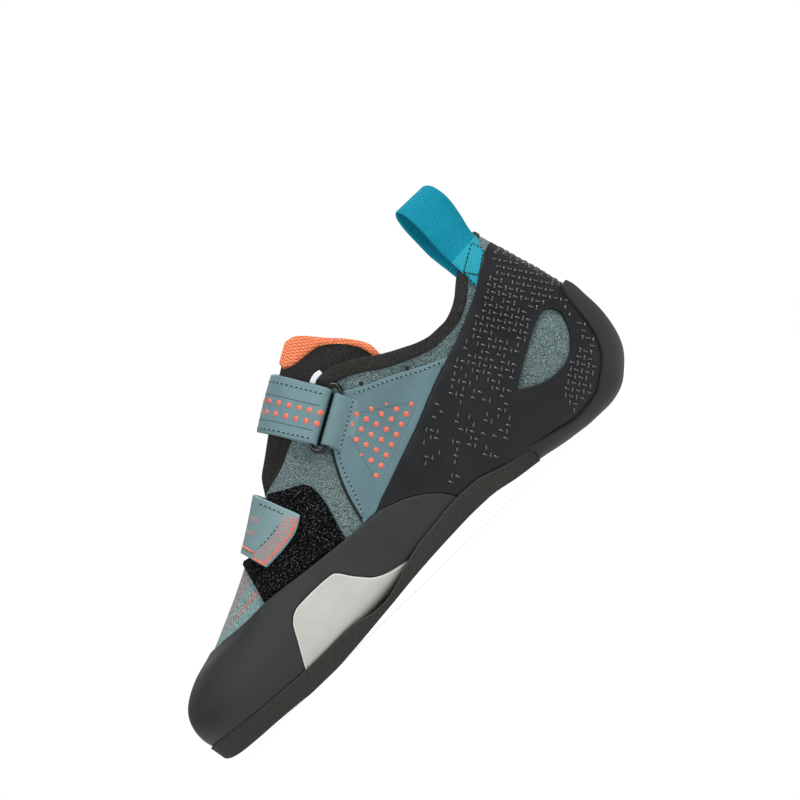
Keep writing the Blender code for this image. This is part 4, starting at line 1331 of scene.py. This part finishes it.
def dress_tongue():
    region = meet(left_of(TONGUE_LOW), away(left_of(TONGUE_EDGE)), lambda p: p[:, 0] - 52.0)
    piece = skin_piece(
        "tongue_skin", region, tongue_out, moved(tongue_out, -TONGUE_WALL), soft=0.8,
        materials=(TONGUE_CLOTH,),
    )
    stands_for(piece, "tongue")

    over = away(left_of(shifted(TONGUE_EDGE, TAPE_OUT)))
    region = meet(over, left_of(LINING_LOW), lambda p: p[:, 0] - 137.0)
    piece = skin_piece(
        "tongue_lining_skin", region, moved(tongue_out, TAPE_OUT),
        moved(tongue_out, -TONGUE_WALL - TAPE_OUT),
        soft=1.1, soft_in=1.1, materials=(KNIT,),
    )
    stands_for(piece, "tongue_lining")


def dress_collar():
    tape = 5.2 - 1.3 * ease((COLLAR[:, 0] - 165.0) / 35.0) - 1.5 * ease((COLLAR[:, 0] - 216.0) / 14.0)
    low = COLLAR + (shifted(COLLAR, -1.0) - COLLAR) * tape[:, None]
    behind = lambda p: (p[:, [0, 2]] - SLOT) @ ACROSS - 0.5 * STRAP_WIDTH - 1.0
    region = meet(left_of(low), away(left_of(shifted(COLLAR, TAPE_OUT))), behind)
    outside = lambda x, around: TAPE_OUT + 1.3 * ease((x - 226.0) / 8.0)
    piece = skin_piece(
        "collar_tape", region, outside, -WALL - TAPE_OUT, soft=1.2, soft_in=1.2, cells=(200, 148),
        materials=(TAPE_CLOTH,),
    )
    stands_for(piece, "collar_binding")

    below = away(left_of(low))
    above = left_of(shifted(HEEL_FRONT, -2.0))
    region = meet(below, above, lambda p: p[:, 0] - 235.4)
    strip = skin_piece("heel_strip", region, 1.9, 0.1, soft=0.5, cells=(260, 200), materials=(SUEDE,))


def dress_outsole():
    """The sole from its plan outline: lip, buffed edge and tread, and a bed under the foot."""
    start = TOE_END
    while last_at(start)[BOTTOM] > sole_rim(start):
        start += 0.05
    stations = start + (SOLE_END - start) * (1 - np.cos(np.linspace(0, math.pi / 2, 90)))
    sides = {MEDIAL: [], LATERAL: []}
    for x in stations:
        row = last_at(x)
        bottom, wide, ridge, power = (row[k] for k in (BOTTOM, WIDE, RIDGE, LOW_POWER))
        drop = np.clip((wide - sole_rim(x)) / (wide - bottom), 0, 1)
        reach = (1 - drop ** power) ** (1 / power)
        for side, points in sides.items():
            points.append((x, ridge + (row[side] - ridge) * reach))
    foot = np.array(sides[LATERAL][::-1] + sides[MEDIAL][1:])
    reach = SOLE_IN + LIP - 0.5 * ease((foot[:, 0] - 174.0) / 16.0)
    edge = foot + (shifted(foot, -1.0) - foot) * reach[:, None]
    edge[:, 0] = np.minimum(edge[:, 0], SOLE_END)
    inward = unit(foot - edge)
    length = lengths_along(edge)
    middle = [0.5 * (a[1] + b[1]) for a, b in zip(sides[MEDIAL], sides[LATERAL])]
    spine_x = np.maximum(foot[:, 0], start + 9.0)
    spine_y = np.interp(spine_x, stations, middle)
    rim = sole_rim(np.maximum(edge[:, 0], 1.0))
    inner = slice(len(stations), None)
    rim[inner] = inner_rim(np.maximum(edge[inner, 0], 1.0))
    tread = sole_tread(np.maximum(edge[:, 0] + 3.2 * inward[:, 0], 2.7))
    under_foot = np.array([last_at(max(x, TOE_END))[BOTTOM] for x in foot[:, 0]]) - SOLE_IN - 0.8
    bed = np.minimum(np.maximum(tread + 0.4, under_foot), rim - 1.0)
    corner = np.minimum(2.0, 0.4 * (rim - tread))

    def profile(i):
        r, top, low, c = corner[i], rim[i], tread[i], LEAN
        steps = [
            (0.0, None, bed[i]), (LIP + 2.5, 1, bed[i]), (LIP - 0.1, 1, bed[i] + 0.2),
            (LIP - 0.1, 1, top - 0.15), (LIP - 0.3, 1, top), (0.35, 1, top), (0.1, 1, top - 0.1),
            (0.0, 1, top - 0.35),
        ]
        for t in (0.2, 0.45, 0.7):
            steps.append((t * c, 1, top - 0.35 + t * (low + r - top + 0.35)))
        for t in np.radians((0, 22, 45, 68, 90)):
            steps.append((c + r * (1 - math.cos(t)), 1, low + r * (1 - math.sin(t))))
        steps += [(c + r + 3.0, 1, low), (c + r + 8.0, 1, low), (0.0, None, low)]
        return steps

    rows = [profile(i) for i in range(len(edge))]
    spine = np.column_stack([spine_x, spine_y])

    def at(i, j):
        distance, on_edge, z = rows[i][j]
        if on_edge is None:
            x, y = spine[i]
            z = z if j == 0 else float(sole_tread(x))
        else:
            room = np.linalg.norm(spine[i] - edge[i])
            share = min(distance, 0.8 * room)
            towards = inward[i] if distance < 4 else (spine[i] - edge[i]) / room
            x, y = edge[i] + share * towards
            if j > 15:
                z = float(sole_tread(max(x, 1.0)))
        return (min(x, SOLE_END), y, z)

    bm = bmesh.new()
    mapped_grid(len(edge), len(rows[0]), at, bm)
    uv = bm.loops.layers.uv.new("skin")
    from_rim = (
        0.0, 0.0, 12.0, 5.0, 0.6, 0.0, 0.3, 0.6, 2.0, 4.0, 6.0, 8.0, 9.0, 10.0, 11.0, 12.0, 15.0, 20.0,
        30.0,
    )
    lookup = {}
    for i in range(len(edge)):
        for j in range(len(rows[0])):
            lookup[tuple(np.round(place(at(i, j)), 7))] = (length[i], from_rim[min(j, len(from_rim) - 1)])
    for face in bm.faces:
        for loop in face.loops:
            found = lookup.get(tuple(np.round(loop.vert.co, 7)), (0.0, 10.0))
            loop[uv].uv = (found[0] * UV_STEP, found[1] * UV_STEP)
    bmesh.ops.remove_doubles(bm, verts=bm.verts, dist=2e-5)
    bmesh.ops.holes_fill(bm, edges=[e for e in bm.edges if e.is_boundary], sides=0)
    outward(bm)
    piece = to_object("outsole_skin", bm, (EDGE_RUBBER,), 50.0)
    stands_for(piece, "outsole")


# Straps, ring and loop.
def strap_at(s, n, w):
    """A place over the instep, where the strap stands off along its lower edge."""
    stand = 0.067 * (13.0 - w) * math.exp(-((s / 14.0) ** 2))
    return GIRTH.point(s, n + stand, w)


def dress_strap():
    bar = GIRTH.s_at_slot() - 0.5 * RING_BARS
    fixed = GIRTH.s_at_height(62.0)
    free = GIRTH.s_at_height(74.0)
    low = [
        (fixed, 1.2), (fixed + 12.0, 1.2), (-26.0, 1.3), (-13.0, 2.3), (0.0, 2.7), (12.0, 2.3),
        (21.0, 1.5), (bar - 2.5, 1.05),
    ]
    high = [
        (bar - 5.0, 4.6), (19.0, 3.6), (11.0, 4.0), (0.0, 4.35), (-13.0, 4.0), (-26.0, 3.0), (free, 2.85),
    ]
    path = np.vstack([run(low, 1.6), fold(bar, RING_RISE, -90, 90, 16), run(high, 1.6)])
    piece = ribbon("strap_skin", path, 0.5 * STRAP_WIDTH, WEB, strap_at, (STRIP_LEATHER,), band=STRAP_BAND)
    stands_for(piece, "upper_strap")
    return np.vstack([fold(bar, RING_RISE, 40, 90, 8), run(high, 1.0)])


def strip_top(line, s, w):
    """A place on the outside of a strip, and its axes along, across and outward."""
    order = np.argsort(line[:, 0])
    steps = np.array([s - 0.4, s, s + 0.4])
    n = np.interp(steps, line[order, 0], line[order, 1])
    before, here, after = (strap_at(a, b, w) for a, b in zip(steps, n))
    along = after - before
    across = strap_at(s, n[1], w + 0.5) - strap_at(s, n[1], w - 0.5)
    facing = unit(np.cross(along, across))
    return here + 0.5 * WEB * facing, along, across, facing


def dress_ring():
    slot = GIRTH.s_at_slot()
    half = 0.5 * RING_BARS
    straight = 0.5 * (RING_LENGTH - WIRE) - half
    middle = GIRTH.point(slot, RING_RISE, 0.0)
    down = GIRTH.point(slot + 3.0, RING_RISE, 0.0) - GIRTH.point(slot - 3.0, RING_RISE, 0.0)
    across = GIRTH.point(slot, RING_RISE, 9.0) - GIRTH.point(slot, RING_RISE, -9.0)
    down, across = unit(down), unit(across)
    up = np.cross(down, across)
    turns = [(straight, t) for t in np.radians(90.0 - np.linspace(0, 180, 19))]
    turns += [(-straight, t) for t in np.radians(270.0 - np.linspace(0, 180, 19))]
    turns.append(turns[0])

    def at(i, j):
        end, turn = turns[i]
        out = math.sin(turn) * down + math.cos(turn) * across
        centre = middle + end * across + half * out
        t = 2 * math.pi * j / 14
        return centre + 0.5 * WIRE * (math.cos(t) * out + math.sin(t) * up)

    bm = mapped_grid(len(turns), 15, at)
    bmesh.ops.remove_doubles(bm, verts=bm.verts, dist=2e-6)
    outward(bm)
    piece = to_object("ring_wire", bm, (WIRE_BLACK,), 80.0)
    stands_for(piece, "strap_ring")


LOOP_ACROSS = np.array([math.cos(LOOP_YAW), math.sin(LOOP_YAW)])
LOOP_OUT = np.array([math.sin(LOOP_YAW), -math.cos(LOOP_YAW)])
LOOP_SIDES = [section(x, np.linspace(1.0, 1.99, 40)) for x in np.linspace(206.0, 245.0, 60)]
# The loop's webbing in its own plane: how far off the heel, and height.
LOOP_PATH = (
    (0.8, 79.6), (0.9, 84.0), (1.7, 88.4), (2.4, 92.0), (2.8, 96.0), (3.6, 104.0), (3.4, 114.0),
    (1.4, 122.0), (-1.6, LOOP_TOP), (-4.6, 121.8), (-6.2, 114.0), (-5.8, 104.0), (-4.8, 95.0),
    (-4.6, 90.0), (-4.6, 85.0),
)


def heel_wall(z, w):
    """How far the heel reaches out at a height and a place across the loop."""
    plan = [(p[0, 0], np.interp(z, p[:, 2], p[:, 1])) for p in LOOP_SIDES if p[-1, 2] > z]
    plan = np.array(plan) - LOOP_MIDDLE
    return float(np.interp(w, plan @ LOOP_ACROSS, plan @ LOOP_OUT))


LOOP_LEAN = heel_wall(94.0, 0.0)


def loop_point(n, z, w):
    """A place on the loop: n off the heel, at a height, w across."""
    base = heel_wall(min(z, 94.0), w)
    base = base + (LOOP_LEAN - base) * float(ease((z - 90.0) / 26.0))
    spread = 0.006 * max(w, 0) ** 2 * float(ease((z - 86.0) / 8.0))
    n = n - 0.016 * max(w, 0) ** 2 * float(np.clip((91.0 - z) / 6.0, 0, 1))
    plan = LOOP_MIDDLE + w * LOOP_ACROSS + (base + n * (1 + spread)) * LOOP_OUT
    slant = 0.56 * w * float(np.clip((94.0 - z) / 10.0, 0, 1))
    return np.array([plan[0] - 1.5 * float(ease((z - 86.0) / 16.0)), plan[1], z + slant])


def loop_out(z):
    """How far the outside of the loop's front leg stands off the heel, at a height."""
    leg = np.array(LOOP_PATH[:6])
    return float(np.interp(z, leg[:, 1], leg[:, 0])) + 0.5 * WEB + 0.08


def loop_spot(x, z):
    """The height and place across of the side-view point (x, z) on the loop's front leg."""
    low, w = z, 0.0
    for _ in range(40):
        here = loop_point(loop_out(low), low, w)
        w += 0.7 * (x - here[0]) / LOOP_ACROSS[0]
        low += 0.7 * (z - here[2])
    return low, w


def dress_loop():
    piece = ribbon("loop_webbing", run(LOOP_PATH, 1.4), 0.5 * LOOP_WIDTH, WEB, loop_point, (GROSGRAIN,))
    stands_for(piece, "pull_loop")
    box = ((234.0, 92.4), (235.9, 86.9), (226.6, 80.0), (222.5, 85.6), (234.0, 92.4))
    seats = []
    for start, end in list(zip(box, box[1:])) + [((222.5, 85.6), (222.3, 77.8))]:
        start, end = np.array(start), np.array(end)
        count = max(3, round(np.linalg.norm(end - start) / 1.9))
        for k in range(count):
            x, z = start + (k + 0.5) / count * (end - start)
            low, w = loop_spot(x, z)
            n = loop_out(low)
            here = loop_point(n, low, w)
            up = loop_point(loop_out(low + 0.4), low + 0.4, w) - here
            across = loop_point(n, low, w + 0.4) - here
            facing = unit(np.cross(across, up))
            heading = np.array([end[0] - start[0], 0.0, end[1] - start[1]])
            seats.append(matrix(here, heading, facing))
    blocks("loop_stitches", seats, (1.5, 0.5, 0.5), 0.15, (DARK_AND_PAINTED_SHADE,))


# Stitches, prints and moulded marks.
STITCH, STITCH_BEVEL = (1.1, 0.5, 0.45), 0.15
STITCH_PITCH = 2.15
STITCH_LIFT, SEAM_SINK = 0.06, 0.08


def stitches_along(points, out):
    """Seats at even steps along a side-view line."""
    step = np.linalg.norm(np.diff(points, axis=0), axis=1)
    length = np.concatenate([[0], np.cumsum(step)])
    seats = []
    for at in np.arange(0.5 * STITCH_PITCH, length[-1], STITCH_PITCH):
        x, z = (np.interp(at, length, points[:, c]) for c in (0, 1))
        k = min(np.searchsorted(length, at), len(points) - 1)
        heading = (points[k] - points[k - 1]) / max(step[k - 1], 1e-6)
        seats.append(seat(x, z, heading, out))
    return seats


def dress_panel_details():
    seats = []
    seams = []
    for line in PANEL_STITCHES:
        seats += stitches_along(line, PANEL_OUT + STITCH_LIFT)
        seams.append(side_line(line, PANEL_OUT - SEAM_SINK))
    turn = panel_fold_line()
    foot = GIRTH.s_at_slot() + 8.7
    for w in np.arange(-10.4, 11.4, STITCH_PITCH):
        here, _, across, facing = strip_top(turn, foot, w)
        seats.append(matrix(here + STITCH_LIFT * facing, across, facing))
    crossing = [strip_top(turn, foot, w) for w in np.linspace(-11.2, 11.2, 24)]
    seams.append([(here - SEAM_SINK * facing, facing) for here, _, _, facing in crossing])
    blocks("panel_stitches", seats, STITCH, STITCH_BEVEL, (THREAD_PALE,))
    # A dark line under the pale stitches: painted shade of the stitch holes.
    tube("panel_stitch_hole_shade", seams, 0.30, (DARK_AND_PAINTED_SHADE,))
    backing = shifted(PANEL_FRONT, 0.35)
    tube("panel_backing", [side_line(backing, 0.55)], 0.8, (DARK_AND_PAINTED_SHADE,))
    # A dark sheet under the ring's slot: painted shade where the ring and strap shadow the panel.
    slot = GIRTH.s_at_slot()
    under = run(((slot - 3.2, 0.45), (slot, 0.45), (slot + 3.2, 0.45)), 0.8)
    ribbon("slot_painted_shade", under, 11.6, 0.5, GIRTH.point, (DARK_AND_PAINTED_SHADE,))

    seats = []
    start = np.array([166.8, 60.2])
    down, back = np.array([-4.63, -1.69]), np.array([-1.57, 4.62])
    counts = (1, 3, 4, 5, 5, 4, 3, 1)
    for row, count in enumerate(counts):
        for k in range(count):
            x, z = start + row * down + k * back
            size = 0.6 if (row, k) in ((1, 2), (6, 2)) else 1.0
            seats.append((seat(x, z, (0.7, 0.7), PANEL_OUT - 0.05), size))
    studs("panel_dots", seats, 1.58, 0.36, (CORAL,), 4)
    # A dark line along the border of the sunken dot field: painted shade at the step.
    corners = [np.array(c) for c in DOT_FIELD]
    borders = [np.linspace(a, b, 16) for a, b in zip(corners, corners[1:] + corners[:1])]
    lines = [side_line(border, PANEL_OUT - 0.30) for border in borders if np.ptp(border[:, 0]) > 5.6]
    tube("panel_border_painted_shade", lines, 0.26, (GROOVE_PAINTED_SHADE,))

    # Dark discs over the vent holes: painted shade of the holes.
    holes = [(seat(x, z, (1.0, 0.0), 0.2), 1.0) for x, z in ((157.2, 81.7), (176.2, 72.6))]
    studs("vent_hole_shade", holes, 0.9, 0.25, (DARK_AND_PAINTED_SHADE,), 12)


def dress_strap_details(line):
    slot = GIRTH.s_at_slot() - 0.5 * RING_BARS
    free = line[-1, 0]
    dots = []
    for w in (1.2, -3.7):
        for k in range(9):
            here, along, across, facing = strip_top(line, slot + 0.9 - 4.5 * k, w)
            dots.append((matrix(here - 0.12 * facing, along + unit(across), facing), 1.0))
    studs("strap_dots", dots, 1.95, 0.5, (CORAL,), 4)

    def seam(w, start, sink):
        spots = [strip_top(line, s, w) for s in np.arange(start, slot + 1.2, 1.2)]
        return [(here - sink * facing, facing) for here, _, _, facing in spots]

    stitches = []
    for w in STRAP_SEAMS:
        for s in np.arange(free + 3.0, slot + 0.6, STITCH_PITCH):
            here, along, _, facing = strip_top(line, s, w)
            stitches.append(matrix(here + STITCH_LIFT * facing, along, facing))
    blocks("strap_stitches", stitches, STITCH, STITCH_BEVEL, (THREAD_PALE,))
    # A dark line under the pale stitches: painted shade of the stitch holes.
    seams = [seam(w, free + 2.0, SEAM_SINK) for w in STRAP_SEAMS]
    tube("strap_stitch_hole_shade", seams, 0.28, (DARK_AND_PAINTED_SHADE,))
    # Dark lines along the strap's embossed grooves: painted shade.
    groove_shades = [seam(w, free + 8.0, 0.12) for w in STRAP_BAND[::-1]]
    tube("strap_groove_painted_shade", groove_shades, 0.24, (GROOVE_PAINTED_SHADE,))
    tube("strap_backing", [seam(12.6, free + 4.0, 1.35)], 0.45, (DARK_AND_PAINTED_SHADE,))


def length_share(x):
    """The share of the skin's length at a distance from the toe, along the ridge."""
    return np.interp(x, SKIN[:, COLUMNS // 2, 0], np.linspace(0, 1, ROWS))


def spread(shares, around):
    """Every pairing of shares of the length and places around, one to a row."""
    return np.stack(np.meshgrid(shares, around, indexing="ij"), 2).reshape(-1, 2)


TAB_ENDS = length_share((60.0, 112.0))
TAB_AT = spread(np.linspace(*TAB_ENDS, 240), np.linspace(1.0, 2.0, 300))
TAB_SKIN = skin_at(TAB_AT, strap_outside)
TAB_FACING = sample(FACING, TAB_AT)


def tab_place(x, z):
    """The place on the lower strap's outside seen at (x, z) from the inner side, and its facing."""
    k = np.argmin((TAB_SKIN[:, 0] - x) ** 2 + (TAB_SKIN[:, 2] - z) ** 2)
    return TAB_SKIN[k], unit(TAB_FACING[k])


def tab_spot(x, z, heading, lift):
    here, facing = tab_place(x, z)
    return matrix(here + lift * facing, np.array([heading[0], 0.0, heading[1]]), facing)


def tab_line(points, lift):
    laid = [tab_place(x, z) for x, z in points]
    return [(here + lift * facing, facing) for here, facing in laid]


def tab_stitches(name, lines):
    seats = []
    for line in lines:
        length = lengths_along(line)
        for at in np.arange(1.0, length[-1], 2.1):
            x, z = (float(np.interp(at, length, line[:, c])) for c in (0, 1))
            k = min(int(np.searchsorted(length, at)), len(line) - 1)
            seats.append(tab_spot(x, z, line[k] - line[k - 1], STITCH_LIFT))
    blocks(name, seats, STITCH, STITCH_BEVEL, (THREAD_PALE,))
    # A dark line under the pale stitches: painted shade of the stitch holes.
    seams = [tab_line(line, -SEAM_SINK) for line in lines]
    tube(name + "_line", seams, 0.28, (DARK_AND_PAINTED_SHADE,))


def dress_tab_details():
    tip = TAB_END[(TAB_END[:, 0] > 71.6) & (TAB_END[:, 0] < 98.0)]
    back = shifted(STRAP_BACK, 2.6)
    back = back[(back[:, 1] > 63.5) & (back[:, 1] < 76.0)]
    front = shifted(STRAP_FRONT, 2.6)
    front = front[(front[:, 1] > 61.0) & (front[:, 1] < 66.5)]
    tab_stitches("tab_stitches", [shifted(tip, 7.4)[3:-5], back, front])
    bar = run(((71.2, 66.4), (72.2, 63.4), (73.2, 60.8)), 0.6)
    foot = shifted(STRAP_FRONT, 0.8)
    foot = foot[(foot[:, 1] > 53.9) & (foot[:, 1] < 60.2)]
    lines = [tab_line(shifted(tip, 0.9), -0.1), tab_line(bar, -0.15), tab_line(foot, -0.15)]
    tube("tab_edge_lines", lines, 0.55, (CORAL,))
    marks = []
    field_front, field_back = left_of(STRAP_FRONT), left_of(STRAP_BACK)
    for depth in np.arange(1.9, 6.8, 1.15):
        line = shifted(run(tip, 0.4), depth)
        length = lengths_along(line)
        shift = 0.75 if round(depth / 1.15) % 2 else 0.0
        for at in np.arange(0.4 + shift, length[-1], 1.5):
            x, z = (float(np.interp(at, length, line[:, c])) for c in (0, 1))
            spot = np.array([[x, 0.0, z]])
            if field_front(spot)[0] > 1.0 and field_back(spot)[0] > 1.0:
                marks.append((tab_spot(x, z, (0.8, 0.6), -0.02), 1.0))
    studs("tab_mesh", marks, 0.48, 0.24, (CORAL,), 6)
    combs = ((82.2, 72.4), (82.7, 71.3), (83.2, 70.2), (77.2, 69.6), (77.7, 68.5), (78.2, 67.4))
    seats = [tab_spot(x, z, (ROLL_SIN, ROLL_COS), -0.05) for x, z in combs]
    blocks("tab_combs", seats, (2.2, 0.7, 0.4), 0.14, (CORAL,))


DASH, DASH_BEVEL = (2.5, 1.1, 1.0), 0.36
DASH_STEP, DASH_ROW = 2.45, 2.9
DASH_BORDER, DASH_FROM_CUP, DASH_FROM_WINDOW = 4.0, 3.0, 2.2


def back_dashes(border, cup):
    """Seats for the dashes on the back of the heel, laid out as seen from behind."""
    at = spread(length_share(np.linspace(220.0, HEEL_END, 200)), np.linspace(0.8, 3.2, 300))
    skin, facings = skin_at(at, RAND_OUT - 0.2), sample(FACING, at)
    seats = []
    for i in range(-5, 6):
        for j in range(16):
            y, z = 2.5 * i, 50.0 + DASH_ROW * j
            off = (skin[:, 1] - y) ** 2 + (skin[:, 2] - z) ** 2
            k = int(np.argmin(off))
            here, facing = skin[k], unit(facings[k])
            spot = here[None, :] - facing[None, :] * RAND_OUT
            if off[k] > 0.2 or -border(spot)[0] < DASH_BORDER or cup(spot)[0] > -DASH_FROM_CUP:
                continue
            if here[2] < last_at(min(here[0], HEEL_END))[TOP] - 0.2 or random.random() > 0.9:
                continue
            heading = np.array([0.2, 0.0, -1.0]) if (i + j) % 2 else np.array([0.0, 1.0, 0.0])
            seats.append(matrix(here, heading, facing))
    return seats


def dress_heel_marks():
    """Raised dashes in a broken basket weave, thinner towards the arch."""
    random.seed(7)
    flat, upright = np.array([0.575, -0.818]), np.array([-0.818, -0.575])
    border = left_of(HEEL_FRONT)
    window = meet(away(left_of(WINDOW_TOP)), left_of(WINDOW_LOW))
    cup = away(left_of(CUP_TOP))
    origin = np.array([214.0, 62.0])
    for outer, name in ((False, "heel_dashes_inner"), (True, "heel_dashes_outer")):
        seats = []
        for i in range(-34, 35):
            for j in range(-30, 31):
                x, z = origin + DASH_STEP * i * flat + DASH_ROW * j * upright
                spot = np.array([[x, 0.0, z]])
                if not (153.0 < x < 249.0 and z > 9.0):
                    continue
                if -border(spot)[0] < DASH_BORDER or cup(spot)[0] > -DASH_FROM_CUP:
                    continue
                if window(spot)[0] > -DASH_FROM_WINDOW:
                    continue
                if z >= last_at(min(x, HEEL_END))[TOP] - 1.5:
                    continue
                seam = left_of(HEEL_SEAM)(spot)[0]
                if z < 33.0 and seam > -1.5 and ROLL_COS * x - ROLL_SIN * z < 144.2:
                    continue
                chance = 0.26 + 0.62 * float(ease((x + 0.45 * z - 192.0) / 46.0))
                if x > 236.0 and z < 44.0:
                    chance = 0.5
                if random.random() > chance:
                    continue
                heading = flat if (i + j) % 2 else upright
                seats.append(seat(x, z, heading, RAND_OUT + 0.12, outer))
        blocks(name, seats, DASH, DASH_BEVEL, (DASH_RUBBER,))
    blocks("heel_dashes_back", back_dashes(border, cup), DASH, DASH_BEVEL, (DASH_RUBBER,))
    seam = HEEL_SEAM[::2]
    seams = [side_line(seam, RAND_OUT - 0.2, outer) for outer in (False, True)]
    tube("heel_seam", seams, 0.26, (DARK_AND_PAINTED_SHADE,))


def dress_tag():
    """A small plain white tape end between the tongue and the collar tape."""
    region = meet(
        left_of(run(((141.4, 94.6), (144.4, 96.3), (148.6, 96.7)))),
        away(left_of(run(((140.2, 96.6), (142.6, 98.2), (145.5, 98.9), (148.8, 98.4))))),
        lambda p: p[:, 0] - 140.6,
        lambda p: 148.2 - p[:, 0],
        inner_side,
    )
    piece = skin_piece("white_tag", region, 1.0, 0.2, soft=0.2, cells=(300, 300), materials=(WHITE_TAPE,))


# Stage.
def studio():
    bm = bmesh.new()
    bmesh.ops.create_grid(bm, x_segments=2, y_segments=2, size=1.1)
    mesh = bpy.data.meshes.new("floor")
    bm.to_mesh(mesh)
    bm.free()
    f = Finish("floor_white", 0.8, Emission_Color=(1.0, 1.0, 1.0, 1.0), Emission_Strength=0.9)
    tone = f.ramp(f.noise(3.0, 2.0), (0.3, (0.13, 0.13, 0.13)), (0.7, (0.15, 0.15, 0.15)))
    mesh.materials.append(f.finish(tone))
    floor = bpy.data.objects.new("floor", mesh)
    bpy.context.scene.collection.objects.link(floor)

    world = bpy.data.worlds.new("studio")
    world.use_nodes = True
    tree = world.node_tree
    seen = tree.nodes.new("ShaderNodeLightPath").outputs["Is Camera Ray"]
    strength = tree.nodes.new("ShaderNodeMapRange")
    strength.inputs["To Min"].default_value = 0.30
    strength.inputs["To Max"].default_value = 1.0
    tree.links.new(seen, strength.inputs["Value"])
    tree.nodes["Background"].inputs["Color"].default_value = (1.0, 1.0, 1.0, 1.0)
    tree.links.new(strength.outputs["Result"], tree.nodes["Background"].inputs["Strength"])
    bpy.context.scene.world = world
    bpy.context.scene.view_settings.view_transform = "Standard"

    softboxes = (
        ("key", (1.3, -0.5, 1.6), 1.3, 36.0),
        ("front", (-0.6, -2.0, 1.2), 1.2, 18.0),
        ("back", (0.1, 1.8, 1.6), 1.2, 12.0),
        ("toe", (-1.2, -0.7, 1.5), 1.0, 4.5),
    )
    for name, spot, size, power in softboxes:
        light = bpy.data.lights.new(name, "AREA")
        light.shape = "DISK"
        light.size = size
        light.energy = power
        lamp = bpy.data.objects.new(name, light)
        lamp.location = spot
        aim = Vector((0.02, 0.0, 0.05)) - Vector(spot)
        lamp.rotation_euler = aim.to_track_quat("-Z", "Y").to_euler()
        bpy.context.scene.collection.objects.link(lamp)


def camera():
    """Level with the shoe on its inner side, rolled so that the toe points down."""
    lens = bpy.data.cameras.new("camera")
    lens.sensor_fit = "HORIZONTAL"
    lens.sensor_width = 36.0
    distance = 5.0
    lens.lens = lens.sensor_width * distance / VIEW_WIDTH
    lens.clip_start = 0.05
    eye = bpy.data.objects.new("camera", lens)
    right = Vector((ROLL_COS, 0.0, -ROLL_SIN))
    up = Vector((ROLL_SIN, 0.0, ROLL_COS))
    back = Vector((0.0, -1.0, 0.0))
    eye.matrix_world = Matrix((right, up, back)).transposed().to_4x4()
    eye.location = (0.0368, -0.012 - distance, 0.0648)
    bpy.context.scene.collection.objects.link(eye)
    bpy.context.scene.camera = eye


dress_upper()
dress_insole()
dress_rands()
dress_patches()
dress_lower_strap()
dress_tongue()
dress_collar()
dress_outsole()
STRAP_LINE = dress_strap()
dress_ring()
dress_loop()
dress_panel_details()
dress_strap_details(STRAP_LINE)
dress_tab_details()
dress_heel_marks()
dress_tag()
studio()
camera()
